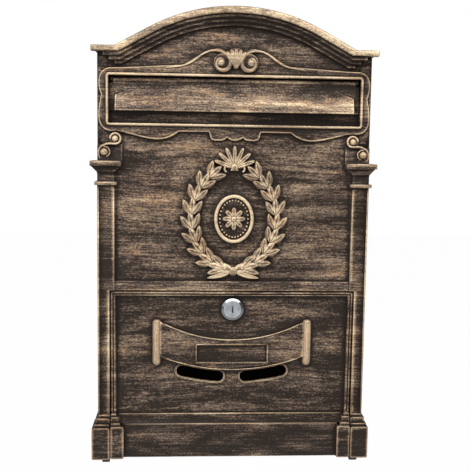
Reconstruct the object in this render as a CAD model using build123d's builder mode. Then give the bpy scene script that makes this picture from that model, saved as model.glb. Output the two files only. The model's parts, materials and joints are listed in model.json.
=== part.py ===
from build123d import *
from math import atan2, cos, degrees, radians, sin, tan
import os

# Wall mailbox with a cast front, an arched roof, a letter flap and a bottom hinged door.
# Millimetres. +Z is up, the front faces -Y, the wall face is Y = 0,
# and the origin is the centre of the four wall holes.

# Case
body_width = 243.6
case_bottom = -194.0
front_depth = 83.0
sheet = 1.5
casting = 3.5
side_return = 17.0
return_wall = 2.3
flange = 13.0
front_flange = 6.2
floor_flange = 12.0
floor_front = 76.5
roof_flange_start = 8.0
roof_flange_length = 60.0
seam_gap = 0.1

# Roof and cornice
eaves_z = 176.6
crown_z = 212.1
roof_radius = 160.0
roof_slope = 28.5
roof_side_overhang = 4.7
roof_front_overhang = 11.0
roof_thickness = 2.5
lip_height = 6.2
lip_depth = 8.0
lip_round = 2.2
step_drop = 3.6
step_height = 2.6
step_inset = 4.9
first_step_inset = 5.7
cornice_steps = 3
flat_share = 0.82
cornice_share = 0.95

# Letter slot
slot_half = 112.0
slot_bottom = 110.1
slot_top = 151.6
slot_bead = 2.2
slot_bead_height = 4.0
slot_corner = 2.6
slot_floor_depth = 4.0
slot_floor = 3.0
slot_wall = 1.0
letter_half = 104.0
letter_bottom = 122.5
hinge_window = 6.4
plaque_height = 2.0
plaque_side = 7.9
plaque_top = 5.6
boss_rise = 1.2
slot_back_rim = 7.4
volute_x = 11.8
volute_z = 164.0
volute_r = 7.9
volute_height = 4.0
volute_boss_x = 13.9
volute_boss_z = 164.7
volute_boss_r = 3.7
shell_z = 168.6
shell_r = 8.2

# Plaque outline on the right half, as (x, z) from its top, its side, or the slot's foot
plaque_brow = [(0, 3.0), (51.0, 3.4), (77.9, 1.8)]
plaque_shoulder = [(9.0, 0.2), (2.0, -4.0), (0, -13.0)]
plaque_waist = [(2.3, 4.0), (0, -9.0)]
plaque_foot = [(2.5, 3.0), (10.2, 6.9)]
plaque_lobes = [(87.4, 10.4), (67.5, 13.3), (50.3, 6.3)]
plaque_drop = [(23.3, 6.2), (22.2, 7.8), (21.6, 11.0), (20.2, 13.2), (17.0, 13.9)]
plaque_tip = [(11.2, 13.6), (8.9, 12.6), (7.2, 10.7), (5.4, 12.2), (2.8, 13.4), (0, 13.8)]
plaque_scroll = [(51.0, 3.0), (40.6, 6.9), (30.0, 14.0), (19.7, 17.6)]
plaque_curl = [(8.0, 14.5), (4.0, 6.5), (11.8, -1.3)]

# Letter flap
flap_gap = 0.5
flap_seat_gap = 0.3
flap_thickness = 2.2
flap_bottom = 121.1
flap_axis_drop = 2.6
flap_axis_depth = 3.2
barrel_r = 2.3
barrel_half = 108.0
flap_rod_r = 1.2
flap_rod_half = 110.8
running_gap = 0.06
awning_half = 106.4
awning_rise = 5.0
awning_height = 20.0
awning_hip = 6.5
awning_hip_run = 16.25
awning_lip = 1.5
bracket_x = 108.5
bracket_foot = 9.0
bracket_lap = 0.7
bracket_rise = 6.4
bracket_ear_r = 2.5
bracket_screw_x = 103.5
bracket_screw_rise = 3.4
bracket_bite = 2.0

# Crest panel and pilasters
panel_half = 106.9
panel_bottom = -31.3
pilaster_height = 4.0
rail_height = 3.0
capital_z = 76.5
capital_slab = 4.5
capital_taper = 5.5
capital_inset = 1.0
capital_inner = 100.3
capital_outer = 128.0
capital_height = 9.0
neck_drop = 18.4
astragal = 3.0
astragal_inner = 104.4
astragal_outer = 124.2
astragal_height = 6.0
bracket_plate_top = 91.0
bracket_inner = 100.0
bracket_plate = 2.0
scroll_height = 3.6
scroll_boss = 0.55
scrolls = [(105.9, 96.2, 5.2), (115.3, 84.5, 4.9)]
scroll_foot_inner = 111.2
scroll_foot_outer = 120.2
scroll_foot = 4.0

# Bases
base_top = -166.8
base_bottom = -196.2
base_outer = 127.3
base_height = 9.0
base_step = 1.6
base_steps = [(11.2, 0.3), (8.3, 2.4), (3.1, 4.1)]
ear_drop = 3.9
ear_width = 6.5
ear_r = 5.0

# Door
door_gap = 1.0
door_half = 110.4
door_top = -40.6
door_bottom = -195.8
door_frame = 4.8
door_frame_top = 3.8
door_frame_height = 3.5
door_frame_groove = 0.7
groove_in = 1.6
groove_width = 1.4
plinth_top = -164.1
plinth_half = 99.7
plinth_height = 4.0
band_top = -155.1
band_height = 1.5
door_base_inner = 98.7
door_base_top = -165.8
door_base_setback = 0.5
stop_width = 3.5
stop_thickness = 1.7
stop_end = -175.0
stop_gap = 0.3
stop_lap = 1.5

# Door hinge
hinge_y = -86.5
hinge_z = -191.5
hinge_pin_r = 2.0
pin_in_door = 8.0
pin_in_case = 5.0

# Banner, label frame and view slots
banner_half = 66.1
banner_top = -85.5
banner_end_top = -68.4
banner_bottom = -113.1
banner_end_bottom = -100.6
banner_height = 3.5
roll_r = 3.8
roll_over = 1.0
roll_depth = 2.6
roll_tail = 8.8
label_half = 32.0
label_top = -90.2
label_height = 15.8
label_border = 1.3
label_border_height = 0.8
label_sink = 1.2
view_slot_inner = 7.1
view_slot_outer = 51.1
view_slot_width = 11.2
view_slot_gap = 7.4
view_rim = 1.0
view_rim_rise = 0.8

# Lock
lock_z = -57.0
lock_collar_r = 10.1
lock_collar_height = 3.0
lock_face_r = 8.2
lock_face_height = 1.2
lock_barrel_r = 7.5
lock_length = 11.5
plug_r = 5.6
key_height = 6.5
key_width = 1.4
key_depth = 9.0
washer_r = 10.5
washer_thickness = 1.0
nut_r = 10.5
nut_thickness = 3.0
cam_length = 23.0
cam_width = 11.0
cam_thickness = 2.0
cam_gap = 0.4
cam_screw_bite = 4.0
cam_grip = 5.5
lock_fit = 0.05

# Wall holes and screws
head_round = 0.8
wall_hole_x = 160.0
wall_hole_z = 268.0
wall_hole_r = 3.0
screw_r = 1.5
screw_head_r = 2.2
screw_head = 1.8
screw_hole_r = 1.55
screw_bite = 3.0
tip_gap = 0.4
front_screw_x = 115.5
front_screw_z = (-150.0, -60.0, 40.0, 84.0)
back_screw_x = 112.0
back_screw_z = (-170.0, -40.0, 60.0, 160.0)
rivet_in_back = 1.0
floor_screw_y = (-18.0, -55.0)
floor_screw_z = -187.0
roof_screw_points = [(-112.5, -18.0), (-112.5, -58.0), (112.5, -18.0), (112.5, -58.0)]
roof_bite = 1.4

# Crest relief: a plain oval medallion in a leaf wreath, with a palmette above and a bow below
crest_z = 26.0
medallion_half = 15.0
medallion_height = 19.0
medallion_field = 3.0
medallion_rim = 2.6
medallion_rim_height = 4.5
crest_height = 2.2
wreath_half = 38.0
wreath_height = 46.0
wreath_start = -78.0
wreath_end = 52.0
wreath_leaves = 9
wreath_lean = 32.0
leaf_length = 16.0
leaf_width = 6.4
palmette_z = 72.0
palmette_reach = 19.0
palmette_petals = 7
palmette_turn = 24.0
petal_half = 2.3
bow_z = -22.0
bow_knot_r = 3.4
bow_loop = 9.0
bow_loop_half = 4.5
bow_loop_turn = 18.0
bow_tail = 24.0
bow_tail_width = 5.0
bow_tail_turn = -15.0

# How far a cut runs past what it cuts
past = 1.0

body_half = body_width / 2
side_outer = body_half - return_wall - seam_gap
face_back = front_depth - casting
slot_mid = (slot_top + slot_bottom) / 2
slot_floor_y = front_depth - slot_floor_depth
opening_half = door_half + door_gap
opening_top = door_top + door_gap
roof_seat_z = eaves_z - roof_thickness * flat_share
letter_top = slot_top - hinge_window
bracket_low = letter_top - bracket_lap
bracket_high = slot_top + bracket_rise
bracket_screw_z = slot_top + bracket_screw_rise


def front_plane(proud=0.0):
    """Plane parallel to the wall, proud of the cast face, looking out of the front."""
    return Plane.XZ.offset(front_depth + proud)


def roof_line(drop, share=flat_share):
    """Kink, tangent point, flat level and crown of the roof line lowered by drop."""
    radius = roof_radius - drop
    slope = radians(roof_slope)
    centre = crown_z - roof_radius
    flat = eaves_z - drop * share
    tangent_x = radius * sin(slope)
    tangent_z = centre + radius * cos(slope)
    kink = tangent_x + (tangent_z - flat) / tan(slope)
    return kink, tangent_x, tangent_z, flat, crown_z - drop


def gable(plane, drop, half, bottom, share=flat_share):
    """Area between a bottom level and the roof line."""
    kink, tangent_x, tangent_z, flat, crown = roof_line(drop, share)
    with BuildSketch(plane) as area:
        with BuildLine():
            Polyline(
                (-tangent_x, tangent_z), (-kink, flat), (-half, flat), (-half, bottom),
                (half, bottom), (half, flat), (kink, flat), (tangent_x, tangent_z),
            )
            ThreePointArc((tangent_x, tangent_z), (0, crown), (-tangent_x, tangent_z))
        make_face()
    return area.sketch


def upright(plane, x0, x1, z0, z1):
    """Rectangle between two x and two z values."""
    with BuildSketch(plane) as area:
        with Locations(((x0 + x1) / 2, (z0 + z1) / 2)):
            Rectangle(abs(x1 - x0), abs(z1 - z0))
    return area.sketch


def disc(plane, x, z, radius):
    """Round face at a point of a plane."""
    with BuildSketch(plane) as area:
        with Locations((x, z)):
            Circle(radius)
    return area.sketch


def wrapped_block(side, inner, outer, low, high, height):
    """Block on the face of a pilaster that also wraps the side of the case; joins the part in work."""
    extrude(upright(front_plane(), side * inner, side * outer, low, high), amount=height)
    if outer > body_half:
        extrude(
            upright(front_plane(-side_return), side * (body_half - return_wall), side * outer, low, high),
            amount=side_return + height,
        )


def curve_through(half, middle, end):
    """Radius and centre height of the arc through a middle point and two equal ends."""
    rise = end - middle
    radius = (half**2 + rise**2) / (2 * rise)
    return radius, middle + radius


def plaque_outline(plane):
    """Ornate plaque round the letter slot, with two scrolls above it."""
    side = slot_half + plaque_side
    top = slot_top + plaque_top
    brow = [(x, top + z) for x, z in plaque_brow]
    shoulder = [(side - x, top + z) for x, z in plaque_shoulder]
    waist = [(side - x, slot_mid + z) for x, z in plaque_waist]
    foot = [(side - x, slot_bottom - z) for x, z in plaque_foot]
    lobes = [(x, slot_bottom - z) for x, z in plaque_lobes]
    drop = [(x, slot_bottom - z) for x, z in plaque_drop + plaque_tip]
    scroll = [(x, top + z) for x, z in plaque_scroll]
    curl = [(x, top + z) for x, z in plaque_curl]
    with BuildSketch(plane) as area:
        with BuildLine():
            Spline(*brow, shoulder[0])
            Spline(*shoulder, waist[0])
            Spline(*waist, *foot)
            Spline(foot[-1], *lobes)
            Polyline(lobes[-1], *drop, brow[0])
        make_face()
        with BuildLine():
            Spline(*scroll)
            Spline(scroll[-1], *curl)
            Line(curl[-1], scroll[0])
        make_face()
        mirror(about=Plane.YZ)
    return area.sketch


def leaf(length, width):
    """Pointed leaf between two arcs, along +X from its foot."""
    with BuildSketch() as area:
        with BuildLine():
            ThreePointArc((0, 0), (length / 2, width / 2), (length, 0))
            ThreePointArc((length, 0), (length / 2, -width / 2), (0, 0))
        make_face()
    return area.sketch


def cornice_band(plane, step, half):
    """Band of one cornice step, between two lowered roof lines."""
    upper = lip_height + (step_height + step_drop * (step - 1) if step else 0)
    upper_share = cornice_share if step else flat_share
    lower = lip_height + step_height + step_drop * step
    bottom = eaves_z - cornice_steps * lip_height
    with BuildSketch(plane) as area:
        add(gable(Plane.XY, upper, half, bottom, upper_share))
        add(gable(Plane.XY, lower, half + past, bottom - past, cornice_share), mode=Mode.SUBTRACT)
    return area.sketch


with BuildPart() as roof_cover:
    # The lip overhangs the sides. Behind it the roof only clears the front casting.
    lip_half = body_half + roof_side_overhang
    roof_half = body_half + seam_gap + sheet
    skirt = lip_height * flat_share
    roof_depth = front_depth + roof_front_overhang
    extrude(gable(Plane.XZ, 0, roof_half, eaves_z - skirt), amount=roof_depth)
    extrude(gable(Plane.XZ.offset(roof_depth), 0, lip_half, eaves_z - skirt), amount=-lip_depth)
    extrude(
        gable(Plane.XZ, roof_thickness, roof_half - sheet, eaves_z - skirt - sheet),
        amount=roof_depth - lip_depth,
        mode=Mode.SUBTRACT,
    )
    extrude(
        gable(front_plane(), lip_height, lip_half + past, eaves_z - 2 * lip_height),
        amount=roof_front_overhang,
        mode=Mode.SUBTRACT,
    )
    nosing = roof_cover.faces().sort_by(Axis.Y)[0].outer_wire().edges()
    fillet(nosing, radius=lip_round)
    with Locations(Plane.XY.offset(roof_seat_z)):
        with Locations(*roof_screw_points):
            upwards = (Align.CENTER, Align.CENTER, Align.MIN)
            Cylinder(screw_hole_r, roof_bite, align=upwards, mode=Mode.SUBTRACT)

with BuildPart() as front_casting:
    extrude(gable(front_plane(), roof_thickness, body_half, base_bottom), amount=-casting)
    for side in (-1, 1):
        extrude(
            upright(
                front_plane(-casting), side * (body_half - return_wall), side * body_half,
                base_bottom, roof_seat_z,
            ),
            amount=casting - side_return,
        )
    # The cornice steps stand under the roof lip, each shorter and flatter than the one above.
    for step in range(cornice_steps):
        half = body_half - first_step_inset - step_inset * step
        reach = roof_front_overhang - step_height * (step + 1)
        extrude(cornice_band(front_plane(), step, half), amount=reach)
    # The door opening leaves the two pilasters standing and the rail above it.
    extrude(
        upright(front_plane(-casting), -opening_half, opening_half, base_bottom - past, opening_top),
        amount=casting + past,
        mode=Mode.SUBTRACT,
    )
    for side in (-1, 1):
        extrude(
            upright(front_plane(), side * panel_half, side * body_half, opening_top, capital_z),
            amount=pilaster_height,
        )
        extrude(
            upright(front_plane(), side * opening_half, side * body_half, base_bottom, opening_top),
            amount=pilaster_height,
        )
        # Capital: slab, tapered bell and astragal.
        slab_z = capital_z - capital_slab
        wrapped_block(side, capital_inner, capital_outer, slab_z, capital_z, capital_height)
        with BuildSketch(front_plane()):
            with BuildLine():
                Polyline(
                    (side * (capital_inner + capital_inset), slab_z),
                    (side * (capital_outer - capital_inset), slab_z),
                    (side * body_half, slab_z - capital_taper),
                    (side * panel_half, slab_z - capital_taper),
                    close=True,
                )
            make_face()
        extrude(amount=astragal_height)
        wrapped_block(
            side, astragal_inner, astragal_outer, capital_z - neck_drop - astragal,
            capital_z - neck_drop, astragal_height,
        )
        # Scroll bracket on the capital.
        extrude(
            upright(front_plane(), side * bracket_inner, side * body_half, capital_z, bracket_plate_top),
            amount=bracket_plate,
        )
        for x, z, radius in scrolls:
            extrude(disc(front_plane(), side * x, z, radius), amount=scroll_height)
            extrude(disc(front_plane(), side * x, z, radius * scroll_boss), amount=scroll_height + boss_rise)
        extrude(
            upright(
                front_plane(), side * scroll_foot_inner, side * scroll_foot_outer, capital_z,
                capital_z + scroll_foot,
            ),
            amount=scroll_height,
        )
        # Base: three short steps and a plinth block.
        for step, (drop, out) in enumerate(base_steps):
            wrapped_block(
                side, opening_half, body_half + out, base_bottom + past, base_top + drop,
                base_height - base_step * (len(base_steps) - step),
            )
        wrapped_block(side, opening_half, base_outer, base_bottom, base_top, base_height)
        # Hinge ear under the base.
        with BuildSketch(Plane.YZ.offset(side * opening_half)):
            with Locations((hinge_y, base_bottom - ear_drop + ear_r)):
                Circle(ear_r)
            with Locations((hinge_y, base_bottom + ear_r)):
                Rectangle(2 * ear_r, 2 * ear_r)
        extrude(amount=side * ear_width)
    extrude(upright(front_plane(), -panel_half, panel_half, opening_top, panel_bottom), amount=rail_height)
    # Rebate that stops the door.
    extrude(
        upright(
            front_plane(-casting), -opening_half - stop_lap, opening_half + stop_lap, stop_end,
            opening_top + stop_lap,
        ),
        amount=-(stop_gap + stop_thickness),
    )
    extrude(
        upright(front_plane(-casting), -opening_half, opening_half, stop_end, opening_top),
        amount=-stop_gap,
        mode=Mode.SUBTRACT,
    )
    extrude(
        upright(
            front_plane(-casting - stop_gap), -door_half + stop_width, door_half - stop_width,
            stop_end - past, door_top - stop_width,
        ),
        amount=-stop_thickness,
        mode=Mode.SUBTRACT,
    )
    # Plaque, then the slot recess, its floor and its bead.
    extrude(plaque_outline(front_plane()), amount=plaque_height)
    for side in (-1, 1):
        extrude(disc(front_plane(), side * volute_x, volute_z, volute_r), amount=volute_height)
        extrude(
            disc(front_plane(), side * volute_boss_x, volute_boss_z, volute_boss_r),
            amount=volute_height + boss_rise,
        )
    extrude(disc(front_plane(), 0, shell_z, shell_r), amount=volute_height)
    with BuildSketch(front_plane()):
        with Locations((0, slot_mid)):
            slot_rise = slot_top - slot_bottom
            RectangleRounded(2 * (slot_half + slot_bead), slot_rise + 2 * slot_bead, slot_corner)
    extrude(amount=slot_bead_height)
    extrude(
        upright(
            front_plane(-casting), -slot_half - slot_wall, slot_half + slot_wall,
            slot_bottom - slot_wall, slot_top + slot_back_rim,
        ),
        amount=casting - slot_floor_depth - slot_floor,
    )
    extrude(
        upright(front_plane(-slot_floor_depth), -slot_half, slot_half, slot_bottom, slot_top),
        amount=slot_floor_depth + slot_bead_height,
        mode=Mode.SUBTRACT,
    )
    extrude(
        upright(
            front_plane(-slot_floor_depth - slot_floor), -letter_half, letter_half, letter_bottom,
            letter_top + past,
        ),
        amount=slot_floor + past,
        mode=Mode.SUBTRACT,
    )
    extrude(
        upright(
            front_plane(-slot_floor_depth - slot_floor), -slot_half, slot_half, letter_top, slot_top,
        ),
        amount=slot_floor + past,
        mode=Mode.SUBTRACT,
    )
    # Crest relief: the wreath's leaves lean out and in from a stem that follows an ellipse.
    with BuildSketch(front_plane()):
        for place in range(wreath_leaves):
            turn = radians(wreath_start + (wreath_end - wreath_start) * place / (wreath_leaves - 1))
            foot_x = wreath_half * cos(turn)
            foot_z = crest_z + wreath_height * sin(turn)
            stem = degrees(atan2(wreath_height * cos(turn), -wreath_half * sin(turn)))
            for lean in (-wreath_lean, 0, wreath_lean):
                with Locations(Location((foot_x, foot_z, 0), (0, 0, stem + lean))):
                    add(leaf(leaf_length, leaf_width))
                with Locations(Location((-foot_x, foot_z, 0), (0, 0, 180 - stem - lean))):
                    add(leaf(leaf_length, leaf_width))
    extrude(amount=crest_height)
    for petal in range(palmette_petals):
        turn = 90 + palmette_turn * (petal - (palmette_petals - 1) / 2)
        middle_x = palmette_reach / 2 * cos(radians(turn))
        middle_z = palmette_z + palmette_reach / 2 * sin(radians(turn))
        with BuildSketch(front_plane()):
            with Locations(Location((middle_x, middle_z, 0), (0, 0, turn))):
                Ellipse(palmette_reach / 2, petal_half)
        extrude(amount=crest_height)
    with BuildSketch(front_plane()):
        with Locations((0, bow_z)):
            Circle(bow_knot_r)
        for turn in (bow_loop_turn, 180 - bow_loop_turn):
            middle = (bow_loop * cos(radians(turn)), bow_z + bow_loop * sin(radians(turn)), 0)
            with Locations(Location(middle, (0, 0, turn))):
                Ellipse(bow_loop, bow_loop_half)
        for turn in (bow_tail_turn, 180 - bow_tail_turn):
            with Locations(Location((0, bow_z, 0), (0, 0, turn))):
                add(leaf(bow_tail, bow_tail_width))
    extrude(amount=crest_height)
    with BuildSketch(front_plane()):
        with Locations((0, crest_z)):
            Ellipse(medallion_half + medallion_rim, medallion_height + medallion_rim)
    extrude(amount=medallion_rim_height)
    with BuildSketch(front_plane(medallion_field)):
        with Locations((0, crest_z)):
            Ellipse(medallion_half, medallion_height)
    extrude(amount=medallion_rim_height, mode=Mode.SUBTRACT)
    # Bores for the hinge pins, and blind holes for the screws behind.
    for side in (-1, 1):
        extrude(
            disc(Plane.YZ.offset(side * opening_half), hinge_y, hinge_z, hinge_pin_r + running_gap),
            amount=side * pin_in_case,
            mode=Mode.SUBTRACT,
        )
        for z in front_screw_z:
            extrude(
                disc(front_plane(-casting), side * front_screw_x, z, screw_hole_r),
                amount=screw_bite,
                mode=Mode.SUBTRACT,
            )
        extrude(
            disc(
                front_plane(-slot_floor_depth - slot_floor), side * bracket_screw_x, bracket_screw_z,
                screw_hole_r,
            ),
            amount=bracket_bite,
            mode=Mode.SUBTRACT,
        )

side_panels = []
for side, panel_name in ((-1, "left_side_panel"), (1, "right_side_panel")):
    with BuildPart() as side_panel:
        extrude(
            upright(
                Plane.XZ.offset(sheet), side * (side_outer - sheet), side * side_outer,
                case_bottom, roof_seat_z,
            ),
            amount=face_back - sheet,
        )
        extrude(
            upright(
                Plane.XZ.offset(sheet), side * (side_outer - flange), side * side_outer,
                case_bottom, roof_seat_z,
            ),
            amount=sheet,
        )
        extrude(
            upright(
                Plane.XZ.offset(face_back), side * (side_outer - front_flange), side * side_outer,
                case_bottom, roof_seat_z,
            ),
            amount=-sheet,
        )
        extrude(
            upright(
                Plane.XZ.offset(roof_flange_start), side * (side_outer - flange), side * side_outer,
                roof_seat_z - sheet, roof_seat_z,
            ),
            amount=roof_flange_length,
        )
        for z in front_screw_z:
            extrude(
                disc(Plane.XZ.offset(face_back), side * front_screw_x, z, screw_hole_r),
                amount=-sheet,
                mode=Mode.SUBTRACT,
            )
        for z in back_screw_z:
            extrude(
                disc(Plane.XZ.offset(sheet), side * back_screw_x, z, screw_hole_r),
                amount=sheet,
                mode=Mode.SUBTRACT,
            )
        for y in floor_screw_y:
            extrude(
                disc(Plane.YZ.offset(side * side_outer), y, floor_screw_z, screw_hole_r),
                amount=-side * sheet,
                mode=Mode.SUBTRACT,
            )
        for x, y in roof_screw_points:
            if x * side > 0:
                extrude(
                    disc(Plane.XY.offset(roof_seat_z), x, y, screw_hole_r),
                    amount=-sheet,
                    mode=Mode.SUBTRACT,
                )
    side_panel.part.label = panel_name
    side_panels.append(side_panel.part)

with BuildPart() as back_plate:
    extrude(gable(Plane.XZ, roof_thickness, side_outer, case_bottom), amount=sheet)
    with Locations(Plane.XZ.offset(sheet)):
        with GridLocations(wall_hole_x, wall_hole_z, 2, 2):
            Hole(wall_hole_r)
    for side in (-1, 1):
        for z in back_screw_z:
            extrude(
                disc(Plane.XZ.offset(sheet), side * back_screw_x, z, screw_hole_r),
                amount=-rivet_in_back,
                mode=Mode.SUBTRACT,
            )

with BuildPart() as floor_panel:
    floor_half = side_outer - sheet - seam_gap
    floor_back = 2 * sheet + seam_gap
    extrude(
        upright(Plane.XZ.offset(floor_back), -floor_half, floor_half, case_bottom, case_bottom + sheet),
        amount=floor_front - floor_back,
    )
    for side in (-1, 1):
        extrude(
            upright(
                Plane.XZ.offset(floor_back), side * (floor_half - sheet), side * floor_half,
                case_bottom, case_bottom + floor_flange,
            ),
            amount=floor_front - floor_flange,
        )
        for y in floor_screw_y:
            extrude(
                disc(Plane.YZ.offset(side * floor_half), y, floor_screw_z, screw_hole_r),
                amount=-side * sheet,
                mode=Mode.SUBTRACT,
            )

# Letter flap: a flat leaf with a rolled barrel on top and a sloping awning at its foot.
flap_back = slot_floor_y + flap_seat_gap
flap_face = flap_back + flap_thickness
flap_axis_z = slot_top - flap_axis_drop
flap_axis_y = -(front_depth - flap_axis_depth)
flap_half = slot_half - flap_gap
with BuildPart() as letter_flap:
    extrude(
        upright(Plane.XZ.offset(flap_back), -flap_half, flap_half, flap_bottom, letter_top),
        amount=flap_thickness,
    )
    extrude(
        upright(Plane.XZ.offset(flap_back), -barrel_half, barrel_half, flap_bottom, flap_axis_z),
        amount=flap_thickness,
    )
    extrude(
        disc(Plane.YZ.offset(-barrel_half), flap_axis_y, flap_axis_z, barrel_r),
        amount=2 * barrel_half,
    )
    with BuildSketch(Plane.XZ.offset(flap_face)):
        with BuildLine():
            Polyline(
                (-awning_half, flap_bottom), (-awning_half, flap_bottom + awning_height - awning_hip),
                (-awning_half + awning_hip_run, flap_bottom + awning_height),
                (awning_half - awning_hip_run, flap_bottom + awning_height),
                (awning_half, flap_bottom + awning_height - awning_hip), (awning_half, flap_bottom),
                close=True,
            )
        make_face()
    extrude(amount=awning_rise)
    with BuildSketch(Plane.YZ.offset(-awning_half - past)):
        with BuildLine():
            Polyline(
                (-flap_face, flap_bottom + awning_height),
                (-flap_face - awning_rise, flap_bottom + awning_lip),
                (-flap_face - awning_rise - past, flap_bottom + awning_lip),
                (-flap_face - awning_rise - past, flap_bottom + awning_height + past),
                (-flap_face, flap_bottom + awning_height + past),
                close=True,
            )
        make_face()
    extrude(amount=2 * (awning_half + past), mode=Mode.SUBTRACT)
    extrude(
        disc(Plane.YZ.offset(-barrel_half - past), flap_axis_y, flap_axis_z, flap_rod_r + running_gap),
        amount=2 * (barrel_half + past),
        mode=Mode.SUBTRACT,
    )

with BuildPart() as flap_rod:
    extrude(
        disc(Plane.YZ.offset(-flap_rod_half), flap_axis_y, flap_axis_z, flap_rod_r),
        amount=2 * flap_rod_half,
    )

bracket_seat = slot_floor_y - slot_floor
flap_brackets = []
for side, bracket_name in ((-1, "left_flap_bracket"), (1, "right_flap_bracket")):
    with BuildPart() as flap_bracket:
        extrude(
            upright(
                Plane.XZ.offset(bracket_seat), side * (bracket_x - bracket_foot),
                side * (bracket_x + sheet), bracket_low, bracket_high,
            ),
            amount=-sheet,
        )
        with BuildSketch(Plane.YZ.offset(side * bracket_x)):
            with Locations((flap_axis_y, flap_axis_z)):
                Circle(bracket_ear_r)
            with Locations(((flap_axis_y - bracket_seat + sheet) / 2, flap_axis_z)):
                Rectangle(abs(flap_axis_y + bracket_seat - sheet), 2 * bracket_ear_r)
        extrude(amount=side * sheet)
        extrude(
            disc(Plane.YZ.offset(side * bracket_x), flap_axis_y, flap_axis_z, flap_rod_r + running_gap),
            amount=side * sheet,
            mode=Mode.SUBTRACT,
        )
        extrude(
            disc(Plane.XZ.offset(bracket_seat), side * bracket_screw_x, bracket_screw_z, screw_hole_r),
            amount=-sheet,
            mode=Mode.SUBTRACT,
        )
    flap_bracket.part.label = bracket_name
    flap_brackets.append(flap_bracket.part)

roll_top = banner_end_top + roll_over
roll_bottom = banner_end_bottom - roll_tail
with BuildPart() as banner_roll:
    with BuildSketch(Plane.XZ):
        with BuildLine():
            Polyline((roll_r, roll_top - roll_r), (roll_r, roll_bottom + roll_r))
            RadiusArc((roll_r, roll_bottom + roll_r), (0, roll_bottom), -roll_r)
            Polyline((0, roll_bottom), (0, roll_top))
            RadiusArc((0, roll_top), (roll_r, roll_top - roll_r), -roll_r)
        make_face()
    revolve(axis=Axis.Z)

with BuildPart() as door:
    extrude(upright(front_plane(), -door_half, door_half, door_bottom, door_top), amount=-casting)
    # Raised frame, grooved near its outer edge.
    extrude(upright(front_plane(), -door_half, door_half, band_top, door_top), amount=door_frame_height)
    extrude(
        upright(
            front_plane(), -door_half + door_frame, door_half - door_frame, band_top - past,
            door_top - door_frame_top,
        ),
        amount=door_frame_height,
        mode=Mode.SUBTRACT,
    )
    with BuildSketch(front_plane(door_frame_height - door_frame_groove)):
        with Locations((0, (band_top + door_top) / 2)):
            Rectangle(2 * door_half - 2 * groove_in, door_top - band_top - 2 * groove_in)
            Rectangle(
                2 * door_half - 2 * groove_in - 2 * groove_width,
                door_top - band_top - 2 * groove_in - 2 * groove_width,
                mode=Mode.SUBTRACT,
            )
        with Locations((0, band_top)):
            inner_width = 2 * (door_half - door_frame)
            Rectangle(inner_width, 2 * groove_in + 4 * groove_width, mode=Mode.SUBTRACT)
    extrude(amount=door_frame_groove, mode=Mode.SUBTRACT)
    # Foot of the door: a band, a plinth and two inner bases beside the fixed ones.
    extrude(
        upright(front_plane(), -door_half + door_frame, door_half - door_frame, plinth_top, band_top),
        amount=band_height,
    )
    extrude(
        upright(front_plane(), -plinth_half, plinth_half, door_bottom, plinth_top),
        amount=plinth_height,
    )
    for side in (-1, 1):
        for step, (drop, out) in enumerate(base_steps):
            extrude(
                upright(
                    front_plane(), side * (door_half - door_frame - out), side * door_half,
                    door_bottom + past, door_base_top + drop,
                ),
                amount=base_height - base_step * (len(base_steps) - step),
            )
        extrude(
            upright(front_plane(), side * door_base_inner, side * door_half, door_bottom, door_base_top),
            amount=base_height - door_base_setback,
        )
    # Banner with rolled ends and a sunk label field.
    with BuildSketch(front_plane()):
        with BuildLine():
            top_ends = [(-banner_half, banner_end_top), (banner_half, banner_end_top)]
            foot_ends = [(-banner_half, banner_end_bottom), (banner_half, banner_end_bottom)]
            ThreePointArc(top_ends[0], (0, banner_top), top_ends[1])
            Line(top_ends[1], foot_ends[1])
            ThreePointArc(foot_ends[1], (0, banner_bottom), foot_ends[0])
            Line(foot_ends[0], top_ends[0])
        make_face()
    extrude(amount=banner_height)
    for side in (-1, 1):
        roll_x = side * (banner_half + roll_r - roll_over)
        with Locations((roll_x, -front_depth - banner_height + roll_depth, 0)):
            add(banner_roll.part)
    label_low = label_top - label_height
    extrude(
        upright(
            front_plane(banner_height), -label_half - label_border, label_half + label_border,
            label_low - label_border, label_top + label_border,
        ),
        amount=label_border_height,
    )
    extrude(
        upright(front_plane(banner_height - label_sink), -label_half, label_half, label_low, label_top),
        amount=label_sink + label_border_height,
        mode=Mode.SUBTRACT,
    )
    # View slots under the banner, curved like its lower edge.
    banner_r, banner_centre = curve_through(banner_half, banner_bottom, banner_end_bottom)
    view_r = banner_r + view_slot_gap
    for side in (-1, 1):
        inner = view_slot_inner + view_slot_width / 2
        outer = view_slot_outer - view_slot_width / 2
        middle = (inner + outer) / 2
        points = [(side * x, banner_centre - (view_r**2 - x**2) ** 0.5) for x in (inner, middle, outer)]
        with BuildSketch(front_plane()):
            with BuildLine() as slot_line:
                ThreePointArc(*points)
            SlotArc(slot_line.edges()[0], view_slot_width + 2 * view_rim)
        extrude(amount=view_rim_rise)
        with BuildSketch(front_plane(-casting)):
            with BuildLine() as slot_line:
                ThreePointArc(*points)
            SlotArc(slot_line.edges()[0], view_slot_width)
        extrude(amount=casting + view_rim_rise, mode=Mode.SUBTRACT)
    extrude(
        disc(front_plane(-casting), 0, lock_z, lock_barrel_r + lock_fit),
        amount=casting,
        mode=Mode.SUBTRACT,
    )
    for side in (-1, 1):
        extrude(
            disc(Plane.YZ.offset(side * door_half), hinge_y, hinge_z, hinge_pin_r + running_gap),
            amount=-side * (pin_in_door + running_gap),
            mode=Mode.SUBTRACT,
        )

hinge_pins = []
for side, pin_name in ((-1, "left_hinge_pin"), (1, "right_hinge_pin")):
    with BuildPart() as hinge_pin:
        extrude(
            disc(Plane.YZ.offset(side * (door_half - pin_in_door)), hinge_y, hinge_z, hinge_pin_r),
            amount=side * (pin_in_door + door_gap + pin_in_case),
        )
    hinge_pin.part.label = pin_name
    hinge_pins.append(hinge_pin.part)

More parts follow.
